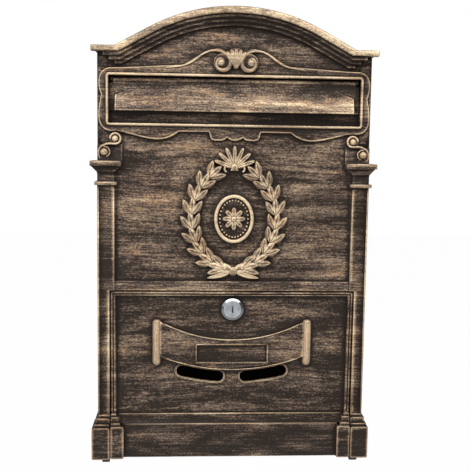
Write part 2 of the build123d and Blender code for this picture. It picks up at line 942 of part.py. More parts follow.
# Lock: chrome collar, threaded body, turning plug, cam and its screw.
lock_face = lock_collar_height + lock_face_height
with BuildPart() as lock_collar:
    extrude(disc(front_plane(), 0, lock_z, lock_collar_r), amount=lock_collar_height)
    fillet(lock_collar.faces().sort_by(Axis.Y)[0].edges(), radius=lock_collar_height / 2)
    extrude(
        disc(front_plane(), 0, lock_z, lock_barrel_r + lock_fit),
        amount=lock_collar_height,
        mode=Mode.SUBTRACT,
    )

with BuildPart() as lock_body:
    extrude(disc(front_plane(lock_collar_height), 0, lock_z, lock_face_r), amount=lock_face_height)
    fillet(lock_body.faces().sort_by(Axis.Y)[0].edges(), radius=lock_face_height / 2)
    extrude(disc(front_plane(lock_collar_height), 0, lock_z, lock_barrel_r), amount=-lock_length)
    extrude(
        disc(front_plane(lock_face), 0, lock_z, plug_r + lock_fit),
        amount=-lock_face - lock_length,
        mode=Mode.SUBTRACT,
    )

with BuildPart() as lock_plug:
    extrude(
        disc(front_plane(lock_face), 0, lock_z, plug_r),
        amount=-lock_face_height - lock_length - cam_gap,
    )
    extrude(
        upright(
            front_plane(lock_face), -key_width / 2, key_width / 2, lock_z - key_height / 2,
            lock_z + key_height / 2,
        ),
        amount=-key_depth,
        mode=Mode.SUBTRACT,
    )
    plug_end = lock_collar_height - lock_length - cam_gap
    extrude(
        disc(front_plane(plug_end), 0, lock_z, screw_hole_r),
        amount=cam_screw_bite,
        mode=Mode.SUBTRACT,
    )

with BuildPart() as lock_washer:
    extrude(disc(front_plane(-casting), 0, lock_z, washer_r), amount=-washer_thickness)
    extrude(
        disc(front_plane(-casting), 0, lock_z, lock_barrel_r + lock_fit),
        amount=-washer_thickness,
        mode=Mode.SUBTRACT,
    )

with BuildPart() as lock_nut:
    with BuildSketch(front_plane(-casting - washer_thickness)):
        with Locations((0, lock_z)):
            RegularPolygon(nut_r, 6)
            Circle(lock_barrel_r + lock_fit, mode=Mode.SUBTRACT)
    extrude(amount=-nut_thickness)

with BuildPart() as lock_cam:
    with BuildSketch(front_plane(plug_end)):
        with Locations((0, lock_z)):
            Circle(cam_width / 2)
        with Locations(((cam_length - cam_width / 2) / 2, lock_z)):
            Rectangle(cam_length - cam_width / 2, cam_width)
        with Locations((cam_length - cam_width / 2, lock_z)):
            Circle(cam_width / 2)
        with Locations((0, lock_z)):
            Circle(screw_hole_r, mode=Mode.SUBTRACT)
    extrude(amount=-cam_thickness)


def fastener(seat, grip):
    """Domed head on a plane and a shank that runs ahead of it."""
    with BuildPart() as piece:
        extrude(disc(seat, 0, 0, screw_head_r), amount=-screw_head)
        edge = piece.faces().sort_by(Axis(seat.origin, seat.z_dir))[0].edges()
        fillet(edge, radius=head_round)
        extrude(disc(seat, 0, 0, screw_r), amount=grip)
    return piece.part


def seat_plane(x, y, z, direction):
    """Plane of a screw seat, with its normal along the shank."""
    return Plane(origin=(x, y, z), z_dir=direction)


with BuildPart() as cam_screw:
    add(fastener(seat_plane(0, -front_depth - plug_end + cam_thickness, lock_z, (0, -1, 0)), cam_grip))

with BuildPart() as front_screws:
    for side in (-1, 1):
        for z in front_screw_z:
            add(
                fastener(
                    seat_plane(side * front_screw_x, -face_back + sheet, z, (0, -1, 0)),
                    sheet + screw_bite - tip_gap,
                )
            )

with BuildPart() as back_rivets:
    for side in (-1, 1):
        for z in back_screw_z:
            add(
                fastener(
                    seat_plane(side * back_screw_x, -2 * sheet, z, (0, 1, 0)),
                    sheet + rivet_in_back - tip_gap,
                )
            )

with BuildPart() as floor_rivets:
    for side in (-1, 1):
        for y in floor_screw_y:
            add(
                fastener(
                    seat_plane(side * side_outer, y, floor_screw_z, (-side, 0, 0)),
                    2 * sheet + seam_gap - tip_gap,
                )
            )

with BuildPart() as roof_rivets:
    for x, y in roof_screw_points:
        add(fastener(seat_plane(x, y, roof_seat_z - sheet, (0, 0, 1)), sheet + roof_bite - tip_gap))

with BuildPart() as bracket_screws:
    for side in (-1, 1):
        add(
            fastener(
                seat_plane(side * bracket_screw_x, -bracket_seat + sheet, bracket_screw_z, (0, -1, 0)),
                sheet + bracket_bite - tip_gap,
            )
        )

single_nodes = {
    "front_casting": front_casting,
    "roof_cover": roof_cover,
    "back_plate": back_plate,
    "floor_panel": floor_panel,
    "letter_flap": letter_flap,
    "flap_rod": flap_rod,
    "door": door,
    "lock_collar": lock_collar,
    "lock_body": lock_body,
    "lock_plug": lock_plug,
    "lock_washer": lock_washer,
    "lock_nut": lock_nut,
    "lock_cam": lock_cam,
    "cam_screw": cam_screw,
    "front_screws": front_screws,
    "back_rivets": back_rivets,
    "floor_rivets": floor_rivets,
    "roof_rivets": roof_rivets,
    "bracket_screws": bracket_screws,
}
for node_name, node in single_nodes.items():
    node.part.label = node_name

os.makedirs("parts", exist_ok=True)
for piece in [node.part for node in single_nodes.values()] + side_panels + flap_brackets + hinge_pins:
    export_step(piece, f"parts/{piece.label}.step")
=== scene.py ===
import json
import math

import bmesh
import bpy
from mathutils import Matrix, Vector


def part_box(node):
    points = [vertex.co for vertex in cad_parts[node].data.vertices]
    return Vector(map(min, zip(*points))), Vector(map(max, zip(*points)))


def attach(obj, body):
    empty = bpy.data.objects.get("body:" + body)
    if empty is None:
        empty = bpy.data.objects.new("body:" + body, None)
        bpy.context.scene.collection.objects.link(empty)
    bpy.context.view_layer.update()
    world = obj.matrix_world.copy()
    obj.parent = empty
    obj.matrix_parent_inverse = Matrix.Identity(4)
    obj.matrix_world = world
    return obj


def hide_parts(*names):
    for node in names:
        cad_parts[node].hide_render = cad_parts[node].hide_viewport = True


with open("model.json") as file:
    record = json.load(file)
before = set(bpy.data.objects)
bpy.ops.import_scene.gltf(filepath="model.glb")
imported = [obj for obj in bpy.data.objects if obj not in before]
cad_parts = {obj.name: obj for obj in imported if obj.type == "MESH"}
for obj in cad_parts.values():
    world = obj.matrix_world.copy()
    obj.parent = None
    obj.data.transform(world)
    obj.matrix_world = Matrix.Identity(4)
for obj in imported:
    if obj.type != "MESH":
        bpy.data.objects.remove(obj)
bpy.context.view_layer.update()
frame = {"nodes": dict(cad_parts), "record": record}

bl_info = {
    "name": "Wall Mailbox Finish",
    "version": (1, 0, 0),
    "blender": (4, 5, 0),
    "location": "View3D > Sidebar > Mailbox",
    "description": "Dresses the wall mailbox with its cast ornament, brushed bronze finish and studio",
    "category": "Object",
}

MM = 0.001
CASE, FLAP, DOOR = "case", "flap", "door_leaf"
HIDDEN_METAL = dict.fromkeys(("flap_rod", "left_flap_bracket", "right_flap_bracket"), "case_sheet")
SHARP, FLAT = math.radians(32), math.radians(0.6)
WELD, FINE_WELD, TUBE_WELD, LEVEL_BAND = 0.02 * MM, 0.004 * MM, 0.002 * MM, 0.03 * MM
MIDDLE, ALL = -1, 1000.0
FLOAT, VECTOR, COLOUR = "NodeSocketFloat", "NodeSocketVector", "NodeSocketColor"


# Sizes read from the frame

FRONT_LOW, FRONT_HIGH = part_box("front_casting")
DOOR_LOW, DOOR_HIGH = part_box("door")
COLLAR_LOW, COLLAR_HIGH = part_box("lock_collar")
FACE_Y = COLLAR_HIGH.y
LOCK_Z = (COLLAR_LOW.z + COLLAR_HIGH.z) / 2
CAPITAL_OUTER = FRONT_HIGH.x / MM
DOOR_HALF = DOOR_HIGH.x / MM


# Places on the front, in millimetres: x across from the middle, z up, proud in front of the cast face

FOOT_LINE, BLOCK_LINE, STEP_LINE = -196.5, -165.5, -150
FOOT_SHADE_LOW, FOOT_SHADE_HIGH = -172, -150
CASE_INNER, CASE_STEM, CASE_BASE_OUTER = 111.4, 121.8, 127.3
DOOR_INNER, DOOR_STEM = 98.7, 105.6
SHAFT_INNER, SHAFT_LOW, SHAFT_HIGH, SHAFT_PROUD = 106.9, -154, 55, 4
RAIL_LOW, RAIL_HIGH = -40, -31
PLAQUE_PROUD, PLAQUE_FOOT, PLAQUE_EAR_FOOT, PLAQUE_EAR_X = 2.0, 95, 103, 99
SHELL_Z, SHELL_PROUD = 160.6, 2.3
CREST_Z, CREST_SIDE, CREST_LOW, CREST_HIGH, CREST_PROUD = 26, 56, -33, 96, 4.4
WREATH_HALF, WREATH_HEIGHT, WREATH_STARTS, WREATH_SWEEP, WREATH_LEAVES = 38, 46, -78, 130, 9
PALMETTE_Z, PALMETTE_TURN, PALMETTE_PETALS = 72, 24, 7
BOW_Z = -22
ROLL_X = 68.9


# Regions of the castings whose edges are rounded alike: x from and to, z from and to, proud above.
# MIDDLE takes in the middle line, and ALL sets no limit.

REGIONS = {
    "bases": [((98, ALL), (FOOT_LINE, BLOCK_LINE), 2.0)],
    "base_steps": [((98, ALL), (BLOCK_LINE, STEP_LINE), 2.0)],
    "capitals": [((99, ALL), (50, 78), 4.5)],
    "slot_bead": [
        ((111, 115), (107, 155), 3.9), ((MIDDLE, 115), (107, 111), 3.9), ((MIDDLE, 115), (151, 155), 3.9),
    ],
    "cornice": [((MIDDLE, ALL), (157, ALL), 2.4)],
    "shafts": [((106, 122.5), (STEP_LINE, 54), 3.4)],
    "anywhere": [
        ((CREST_SIDE, ALL), (FOOT_LINE, ALL), -ALL), ((MIDDLE, ALL), (FOOT_LINE, CREST_LOW), -ALL),
        ((MIDDLE, ALL), (CREST_HIGH, ALL), -ALL), ((MIDDLE, ALL), (FOOT_LINE, ALL), CREST_PROUD),
    ],
    "ears": [((MIDDLE, ALL), (-ALL, FOOT_LINE - 0.1), -ALL)],
}


# Noises of the dry brush: scale along x, y and z, detail, roughness, distortion, shift and weight

BRUSH_NOISES = {
    "long": ((26, 26, 620), 7.0, 0.68, 0.15, (0, 0, 0), 1.7),
    "short": ((150, 150, 900), 5.0, 0.7, 0.0, (3, 1, 2), 1.3),
    "patches": ((13, 13, 60), 5.0, 0.62, 0.6, (7, 2, 5), 2.4),
    "speckle": ((620, 620, 900), 2.0, 0.6, 0.0, (0, 0, 0), 1.5),
}
SWAY_SCALE, SWAY = (9, 9, 9), 0.012
WARM_SCALE, WARM_SHIFT, WARM_LEVELS = (22, 22, 70), (1, 4, 9), (0.47, 0.62)


# Levels of paint at which each coat starts and is full, and what corners take from them: less brush paint
# there, partly painted shade, and a painted shade colour for the darkest corners

HAZE_LEVELS, STROKE_LEVELS, BRIGHT_LEVELS = (0.0, 0.45), (0.35, 0.9), (0.85, 1.35)
RUB_LEVELS, RELIEF_LEVELS = (0.3, 1.1), (-0.2, 1.2)
CREVICE_PAINT_AND_SHADE_LOSS, RECESS_PAINT_AND_SHADE_LOSS = 1.1, 0.42
# Painted shade: corners with little open space round them are mixed towards this near black.
PAINTED_SHADE_COLOUR, PAINTED_SHADE_OPEN, CORNER_SHADE = (0.004, 0.003, 0.0025), 0.8, 0.12
RELIEF_HEIGHT, GRAIN_HEIGHT = 0.7, 0.5
EDGE_BAND, WEAR_STEP = (0.02, 0.45), 0.4
COAT_ROUGHNESS, COAT_METALLIC, COAT_SPECULAR, COAT_RELIEF = (0.55, 0.4), (0.05, 0.25), 0.22, 0.16 * MM


# Noises and reliefs of the case's paint and of the bare metals

CLOUD_SCALE, PEEL_SCALE, SMEAR_SCALE, GRAIN_SCALE = (40, 40, 60), (700,) * 3, (180,) * 3, (900,) * 3
CLOUD_BAND, SMEAR_BAND, GRAIN_BAND = (0.3, 0.7), (0.35, 0.7), (0.2, 0.8)
RING_SCALE, RING_WAVER = 420, 1.5
PAINT_ROUGHNESS, PEEL_RELIEF, LINE_RELIEF, LINE_STRENGTH = (0.5, 0.62), 0.08 * MM, 0.02 * MM, 0.6


# Properties


class MailboxFinish(bpy.types.PropertyGroup):
    """Colours and strengths of the brushed bronze finish and of its painted shade"""

    ground: bpy.props.FloatVectorProperty(
        name="Ground", description="Near black brown of the base coat", subtype="COLOR",
        default=(0.019, 0.012, 0.008), size=3, min=0, max=1,
    )
    haze: bpy.props.FloatVectorProperty(
        name="Haze", description="Thin brushed film over the base coat", subtype="COLOR",
        default=(0.104, 0.072, 0.053), size=3, min=0, max=1,
    )
    tan: bpy.props.FloatVectorProperty(
        name="Tan", description="Pale bronze of the dry brushed strokes", subtype="COLOR",
        default=(0.34, 0.246, 0.162), size=3, min=0, max=1,
    )
    warm: bpy.props.FloatVectorProperty(
        name="Warm", description="Copper tone that the strokes take in places", subtype="COLOR",
        default=(0.37, 0.235, 0.135), size=3, min=0, max=1,
    )
    bright: bpy.props.FloatVectorProperty(
        name="Bright", description="Palest bronze, left on edges and raised work", subtype="COLOR",
        default=(0.78, 0.61, 0.40), size=3, min=0, max=1,
    )
    # Painted shade: the finish gets darker towards the foot, where the light falls off.
    painted_foot_shade: bpy.props.FloatProperty(
        name="Foot shade", description="How much less paint the brush leaves at the foot",
        default=0.3, min=0, max=1,
    )
    edge_reach: bpy.props.FloatProperty(
        name="Edge reach", description="How far the brush wraps over an edge", unit="LENGTH",
        default=0.0018, min=0.0001, max=0.01,
    )
    # Crevice reach sets how far from a corner the painted shade and the thinned brush paint reach.
    crevice_reach: bpy.props.FloatProperty(
        name="Crevice reach", description="How far dark paint gathers out of a corner", unit="LENGTH",
        default=0.005, min=0.0005, max=0.05,
    )
    # Recess reach sets how far round deep recesses and raised work the brush paint thins out, partly as
    # painted shade.
    recess_reach: bpy.props.FloatProperty(
        name="Recess reach", description="How far the brush stays away from deep recesses", unit="LENGTH",
        default=0.02, min=0.002, max=0.1,
    )


class MailboxOrnament(bpy.types.PropertyGroup):
    """Sizes of the cast ornament"""

    soften: bpy.props.FloatProperty(
        name="Casting radius", description="Radius of the rounded edges of the castings", unit="LENGTH",
        default=0.00045, min=0.0001, max=0.002,
    )
    broad_soften: bpy.props.FloatProperty(
        name="Base radius", description="Radius of the rounded edges of bases and capitals", unit="LENGTH",
        default=0.0014, min=0.0002, max=0.004,
    )
    bead: bpy.props.FloatProperty(
        name="Bead radius", description="Radius of the thin beads along outlines", unit="LENGTH",
        default=0.0007, min=0.0002, max=0.003,
    )


class MailboxStudio(bpy.types.PropertyGroup):
    """Camera and light"""

    azimuth: bpy.props.FloatProperty(
        name="Azimuth", description="Camera angle round the mailbox",
        default=math.radians(-3.4815), subtype="ANGLE",
    )
    elevation: bpy.props.FloatProperty(
        name="Elevation", description="Camera angle above the level",
        default=math.radians(6.5017), subtype="ANGLE",
    )
    roll: bpy.props.FloatProperty(
        name="Roll", description="Turn of the camera about its view",
        default=math.radians(0.8524), subtype="ANGLE",
    )
    distance: bpy.props.FloatProperty(
        name="Distance", description="Camera distance from the front", default=0.7257, unit="LENGTH",
    )
    lens: bpy.props.FloatProperty(
        name="Lens", description="Focal length in millimetres", default=61.3, min=10, max=200,
    )
    target: bpy.props.FloatVectorProperty(
        name="Target", description="Point that the camera looks at", default=(0.00146, -0.0829, 0.01099),
        subtype="XYZ_LENGTH", size=3,
    )


# Node helpers


def add_node(tree, kind, **values):
    """Node of a kind, with its settings and the defaults of its sockets."""
    made = tree.nodes.new(kind)
    for key, value in values.items():
        if hasattr(made, key):
            setattr(made, key, value)
        else:
            made.inputs[key.replace("_", " ")].default_value = value
    return made


def join(tree, source, target):
    """Link from one socket to another."""
    tree.links.new(source, target)


def math_node(tree, operation, first, second):
    """Math node on sockets or plain numbers, giving its result socket."""
    made = tree.nodes.new("ShaderNodeMath")
    made.operation = operation
    for slot, value in enumerate((first, second)):
        if isinstance(value, (int, float)):
            made.inputs[slot].default_value = value
        else:
            join(tree, value, made.inputs[slot])
    return made.outputs[0]


def ramp_between(tree, value, low, high, to_low=0.0, to_high=1.0):
    """Smooth step of a value between two limits."""
    made = add_node(
        tree, "ShaderNodeMapRange", interpolation_type="SMOOTHSTEP",
        From_Min=low, From_Max=high, To_Min=to_low, To_Max=to_high,
    )
    join(tree, value, made.inputs["Value"])
    return made.outputs["Result"]


def mix_colours(tree, factor, first, second):
    """Mix of two colours, each a socket or a plain colour, by a mask."""
    made = tree.nodes.new("ShaderNodeMix")
    made.data_type = "RGBA"
    join(tree, factor, made.inputs["Factor"])
    for slot, value in ((6, first), (7, second)):
        if isinstance(value, bpy.types.NodeSocket):
            join(tree, value, made.inputs[slot])
        else:
            made.inputs[slot].default_value = (*value[:3], 1)
    return made.outputs[2]


def stretched(tree, vector, scale, turn=(0, 0, 0), shift=(0, 0, 0)):
    """Coordinates stretched and turned by a Mapping node."""
    made = add_node(tree, "ShaderNodeMapping", Scale=scale, Rotation=turn, Location=shift)
    join(tree, vector, made.inputs["Vector"])
    return made.outputs["Vector"]


def noise(tree, vector, scale, detail=4.0, roughness=0.55, distortion=0.0, shift=(0, 0, 0)):
    """Value of a noise texture whose coordinates are stretched along each axis."""
    made = add_node(
        tree, "ShaderNodeTexNoise", Scale=1.0, Detail=detail, Roughness=roughness, Distortion=distortion,
    )
    join(tree, stretched(tree, vector, scale, shift=shift), made.inputs["Vector"])
    return made.outputs["Fac"]


def swing(tree, value, weight):
    """A noise's value as a swing about zero, times a weight."""
    return math_node(tree, "MULTIPLY", math_node(tree, "SUBTRACT", value, 0.5), weight)


def new_group(name, inputs, outputs):
    """Empty shader group and its sockets: (name, kind, default) go in, (name, kind) come out."""
    group = bpy.data.node_groups.new(name, "ShaderNodeTree")
    for label, kind, default in inputs:
        socket = group.interface.new_socket(name=label, in_out="INPUT", socket_type=kind)
        if default is not None:
            socket.default_value = default
    for label, kind in outputs:
        group.interface.new_socket(name=label, in_out="OUTPUT", socket_type=kind)
    given, out = group.nodes.new("NodeGroupInput"), group.nodes.new("NodeGroupOutput")
    return group, given.outputs, out.inputs


def group_node(tree, name, **values):
    """A shader group placed in a tree, with its inputs as sockets, numbers or colours."""
    made = tree.nodes.new("ShaderNodeGroup")
    made.node_tree = bpy.data.node_groups[name]
    for key, value in values.items():
        socket = made.inputs[key.replace("_", " ")]
        if isinstance(value, bpy.types.NodeSocket):
            join(tree, value, socket)
        elif isinstance(value, (int, float)):
            socket.default_value = value
        else:
            socket.default_value = (*value[:3], 1)
    return made


# Shader groups


def build_dry_brush():
    """Level of paint that a dry brush leaves: long strokes across, in patches, with a fine speckle."""
    group, given, out = new_group(
        "Dry Brush",
        [
            ("Vector", VECTOR, None), ("Cover", FLOAT, 0.5), ("Patchiness", FLOAT, 1.0),
            ("Streaks", FLOAT, 1.0),
        ],
        [("Level", FLOAT), ("Speckle", FLOAT)],
    )
    spot = given["Vector"]
    offset = group.nodes.new("ShaderNodeCombineXYZ")
    join(group, swing(group, noise(group, spot, SWAY_SCALE, 1.0), SWAY), offset.inputs["Z"])
    lean = add_node(group, "ShaderNodeVectorMath", operation="ADD")
    join(group, spot, lean.inputs[0])
    join(group, offset.outputs["Vector"], lean.inputs[1])
    values, swings = {}, {}
    for key, (scale, detail, roughness, distortion, shift, weight) in BRUSH_NOISES.items():
        path = spot if key == "speckle" else lean.outputs["Vector"]
        values[key] = noise(group, path, scale, detail, roughness, distortion, shift)
        swings[key] = swing(group, values[key], weight)
    broad = math_node(group, "MULTIPLY", swings["patches"], given["Patchiness"])
    fine = math_node(group, "ADD", swings["long"], swings["short"])
    fine = math_node(group, "ADD", fine, swings["speckle"])
    fine = math_node(group, "MULTIPLY", fine, given["Streaks"])
    level = math_node(group, "ADD", math_node(group, "ADD", broad, fine), given["Cover"])
    join(group, level, out["Level"])
    join(group, values["speckle"], out["Speckle"])


def build_bronze_coat():
    """Base coat, haze, dry brushed strokes, bright edges and painted shade in corners and recesses, as one
    colour.
    """
    group, given, out = new_group(
        "Bronze Coat",
        [
            ("Vector", VECTOR, None), ("Cover", FLOAT, 0.4), ("Patchiness", FLOAT, 1.0),
            ("Streaks", FLOAT, 1.0), ("Open", FLOAT, 1.0), ("Wide Open", FLOAT, 1.0),
            ("Edge", FLOAT, 0.0), ("Edge Gain", FLOAT, 0.5), ("Raised", FLOAT, 0.0),
            ("Ground", COLOUR, None), ("Haze", COLOUR, None), ("Tan", COLOUR, None),
            ("Warm", COLOUR, None), ("Bright", COLOUR, None),
        ],
        [("Color", COLOUR), ("Rub", FLOAT), ("Height", FLOAT)],
    )
    brush = group_node(
        group, "Dry Brush", Vector=given["Vector"], Cover=given["Cover"],
        Patchiness=given["Patchiness"], Streaks=given["Streaks"],
    )
    worn = math_node(group, "MULTIPLY", given["Edge"], given["Edge Gain"])
    level = math_node(group, "ADD", brush.outputs["Level"], worn)
    level = math_node(group, "ADD", level, given["Raised"])
    # Less paint in crevices and recesses, where a dry brush reaches less; this also darkens them as painted
    # shade.
    for key, loss in (("Open", CREVICE_PAINT_AND_SHADE_LOSS), ("Wide Open", RECESS_PAINT_AND_SHADE_LOSS)):
        closed = math_node(group, "SUBTRACT", 1.0, given[key])
        level = math_node(group, "SUBTRACT", level, math_node(group, "MULTIPLY", closed, loss))
    warmth = noise(group, given["Vector"], WARM_SCALE, 3.0, shift=WARM_SHIFT)
    warm = ramp_between(group, warmth, *WARM_LEVELS)
    stroke = mix_colours(group, warm, given["Tan"], given["Warm"])
    colour = given["Ground"]
    for levels, over in (
        (HAZE_LEVELS, given["Haze"]), (STROKE_LEVELS, stroke),
        (BRIGHT_LEVELS, given["Bright"]),
    ):
        colour = mix_colours(group, ramp_between(group, level, *levels), colour, over)
    # Painted shade: corners are mixed towards near black by how little open space they have.
    shade = ramp_between(group, given["Open"], 0.0, PAINTED_SHADE_OPEN, CORNER_SHADE, 1.0)
    join(group, mix_colours(group, shade, PAINTED_SHADE_COLOUR, colour), out["Color"])
    join(group, ramp_between(group, level, *RUB_LEVELS), out["Rub"])
    relief = math_node(group, "MULTIPLY", ramp_between(group, level, *RELIEF_LEVELS), RELIEF_HEIGHT)
    grain = math_node(group, "MULTIPLY", brush.outputs["Speckle"], GRAIN_HEIGHT)
    join(group, math_node(group, "ADD", relief, grain), out["Height"])


# Materials


def new_material(name):
    """Empty node material, its output and its Principled shader."""
    material = bpy.data.materials.new(name)
    material.use_nodes = True
    tree = material.node_tree
    tree.nodes.clear()
    out = tree.nodes.new("ShaderNodeOutputMaterial")
    shader = tree.nodes.new("ShaderNodeBsdfPrincipled")
    join(tree, shader.outputs["BSDF"], out.inputs["Surface"])
    return material, tree, shader


def object_place(tree):
    """Object coordinates."""
    return tree.nodes.new("ShaderNodeTexCoord").outputs["Object"]


def bump(tree, shader, height, distance, strength=1.0):
    """Bump of the shader's surface."""
    made = add_node(tree, "ShaderNodeBump", Strength=strength, Distance=distance)
    join(tree, height, made.inputs["Height"])
    join(tree, made.outputs["Normal"], shader.inputs["Normal"])


def bronze_material(
    name, cover, patchiness=1.0, edge_gain=0.5, turn=(0, 0, 0), raised=(0, 1, 0, 0), streaks=1.0,
    edge_from=-30,
):
    """Brushed bronze: cover says how much paint the brush has left, patchiness and streaks how unevenly.

    Raised says how the cover grows from one height in front of the face to another, in millimetres,
    and edge_from is the height above which edges are worn.
    """
    finish = bpy.context.scene.mailbox_finish
    material, tree, shader = new_material(name)
    place_in = object_place(tree)
    if any(turn):
        place_in = stretched(tree, place_in, (1, 1, 1), turn)
    reaches = {}
    # Occlusion: inside for worn edges, outside for crevices and recesses, which give the painted shade.
    for label, reach, samples, inside in (
        ("edge", finish.edge_reach, 12, True), ("crevice", finish.crevice_reach, 12, False),
        ("recess", finish.recess_reach, 8, False),
    ):
        reaches[label] = add_node(
            tree, "ShaderNodeAmbientOcclusion", samples=samples, inside=inside, Distance=reach,
        ).outputs["AO"]
    edge = math_node(tree, "SUBTRACT", 1.0, reaches["edge"])
    low, high, low_gain, high_gain = raised
    axes = tree.nodes.new("ShaderNodeSeparateXYZ")
    join(tree, object_place(tree), axes.inputs["Vector"])
    standing = math_node(tree, "SUBTRACT", FACE_Y, axes.outputs["Y"])
    worn = math_node(
        tree, "MULTIPLY", ramp_between(tree, edge, *EDGE_BAND),
        ramp_between(tree, standing, edge_from * MM, (edge_from + WEAR_STEP) * MM),
    )
    # The rise adds cover on raised work and takes it away towards the foot, which is painted shade.
    rise = math_node(
        tree, "ADD", ramp_between(tree, standing, low * MM, high * MM, low_gain, high_gain),
        ramp_between(tree, axes.outputs["Z"], FOOT_SHADE_LOW * MM, FOOT_SHADE_HIGH * MM, -finish.painted_foot_shade, 0.0),
    )
    coat = group_node(
        tree, "Bronze Coat", Vector=place_in, Cover=cover, Patchiness=patchiness, Streaks=streaks,
        Open=reaches["crevice"], Wide_Open=reaches["recess"],
        Edge=worn, Edge_Gain=edge_gain, Raised=rise,
        Ground=finish.ground, Haze=finish.haze, Tan=finish.tan, Warm=finish.warm, Bright=finish.bright,
    )
    join(tree, coat.outputs["Color"], shader.inputs["Base Color"])
    for key, (bare, rubbed) in (("Roughness", COAT_ROUGHNESS), ("Metallic", COAT_METALLIC)):
        join(tree, ramp_between(tree, coat.outputs["Rub"], 0.0, 1.0, bare, rubbed), shader.inputs[key])
    shader.inputs["Specular IOR Level"].default_value = COAT_SPECULAR
    bump(tree, shader, coat.outputs["Height"], COAT_RELIEF)
    return material


def paint_material(name, colour, film):
    """Dark powder coat with a fine orange peel."""
    material, tree, shader = new_material(name)
    spot = object_place(tree)
    cloud = noise(tree, spot, CLOUD_SCALE)
    peel = noise(tree, spot, PEEL_SCALE, 2.0)
    shade = mix_colours(tree, ramp_between(tree, cloud, *CLOUD_BAND), colour, film)
    join(tree, shade, shader.inputs["Base Color"])
    rough = ramp_between(tree, cloud, *GRAIN_BAND, *PAINT_ROUGHNESS)
    join(tree, rough, shader.inputs["Roughness"])
    bump(tree, shader, peel, PEEL_RELIEF)
    return material


def metal_material(name, light, dark, low, high, rings=False):
    """Bare metal with fine machining lines, in rings round the lock or as a plain grain."""
    material, tree, shader = new_material(name)
    spot = object_place(tree)
    if rings:
        centred = stretched(tree, spot, (1, 0, 1), shift=(0, 0, -LOCK_Z))
        wave = add_node(
            tree, "ShaderNodeTexWave", wave_type="RINGS", rings_direction="SPHERICAL",
            Scale=RING_SCALE, Distortion=RING_WAVER,
        )
        join(tree, centred, wave.inputs["Vector"])
        grain = wave.outputs["Fac"]
    else:
        grain = noise(tree, spot, GRAIN_SCALE, 3.0)
    smear = ramp_between(tree, noise(tree, spot, SMEAR_SCALE, 3.0), *SMEAR_BAND)
    join(tree, mix_colours(tree, smear, light, dark), shader.inputs["Base Color"])
    shader.inputs["Metallic"].default_value = 1.0
    join(tree, ramp_between(tree, grain, *GRAIN_BAND, low, high), shader.inputs["Roughness"])
    bump(tree, shader, grain, LINE_RELIEF, LINE_STRENGTH)
    return material


# Mesh helpers


def place(x, z, proud=0.0):
    """Point on the front, from millimetres across, up and proud of the cast face."""
    return Vector((x * MM, FACE_Y - proud * MM, z * MM))


def laid(x, z, heading, proud=0.0):
    """Matrix that lays a form made in millimetres on the front, its +X at a heading in degrees."""
    turn = math.radians(heading)
    along = Vector((math.cos(turn), 0, math.sin(turn)))
    across = Vector((-math.sin(turn), 0, math.cos(turn)))
    spin = Matrix((along, across, Vector((0, -1, 0)))).transposed().to_4x4()
    return Matrix.Translation(place(x, z, proud)) @ spin @ Matrix.Scale(MM, 4)


def mirrored(points):
    """The same points on the other side of the middle."""
    return [(-point[0], *point[1:]) for point in points]


def mesh_piece(bm, name, body, material):
    """Object from a bmesh that rides on a body."""
    bmesh.ops.recalc_face_normals(bm, faces=bm.faces)
    mesh = bpy.data.meshes.new(name)
    bm.to_mesh(mesh)
    bm.free()
    mesh.shade_smooth()
    piece = bpy.data.objects.new(name, mesh)
    bpy.context.scene.collection.objects.link(piece)
    mesh.materials.append(material)
    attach(piece, body)
    return piece


def merged_cad(node):
    """Bmesh of a CAD node with its doubled corners merged."""
    bm = bmesh.new()
    bm.from_mesh(frame["nodes"][node].data)
    bmesh.ops.remove_doubles(bm, verts=bm.verts, dist=WELD)
    return bm


def edge_runs(edges):
    """The edges sorted into runs that hang together by their corners."""
    waiting = set(edges)
    runs = []
    for first in edges:
        if first not in waiting:
            continue
        waiting.discard(first)
        run = [first]
        for edge in run:
            for vertex in edge.verts:
                for beside in vertex.link_edges:
                    if beside in waiting:
                        waiting.discard(beside)
                        run.append(beside)
        runs.append(run)
    return runs


def in_regions(regions, x, z, proud):
    """Whether a point, in millimetres, lies in one of the regions of the front."""
    return any(
        left < x < right and low < z < high and proud > least
        for (left, right), (low, high), least in regions
    )


def softened_copy(node, name, body, material, rounds):
    """Copy of a CAD node with rounded edges: each (radius, segments, regions) takes the edges in them."""
    bm = merged_cad(node)
    bmesh.ops.dissolve_limit(
        bm, angle_limit=FLAT, use_dissolve_boundaries=False, verts=bm.verts, edges=bm.edges,
    )
    for radius, segments, regions in rounds:
        sharp = []
        for edge in bm.edges:
            middle = (edge.verts[0].co + edge.verts[1].co) / 2 / MM
            bent = len(edge.link_faces) == 2 and edge.calc_face_angle(0) > SHARP
            if bent and in_regions(regions, abs(middle.x), middle.z, FACE_Y / MM - middle.y):
                sharp.append(edge)
        for run in edge_runs(sharp):
            bmesh.ops.bevel(
                bm, geom=run, offset=radius * MM, offset_type="OFFSET", segments=segments, profile=0.5,
                affect="EDGES", material=-1, clamp_overlap=True,
            )
    bmesh.ops.remove_doubles(bm, verts=bm.verts, dist=FINE_WELD)
    bmesh.ops.triangulate(bm, faces=[face for face in bm.faces if len(face.verts) > 4])
    piece = mesh_piece(bm, name, body, material)
    weighted = piece.modifiers.new("Smooth", "WEIGHTED_NORMAL")
    weighted.keep_sharp = False
    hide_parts(node)
    return piece


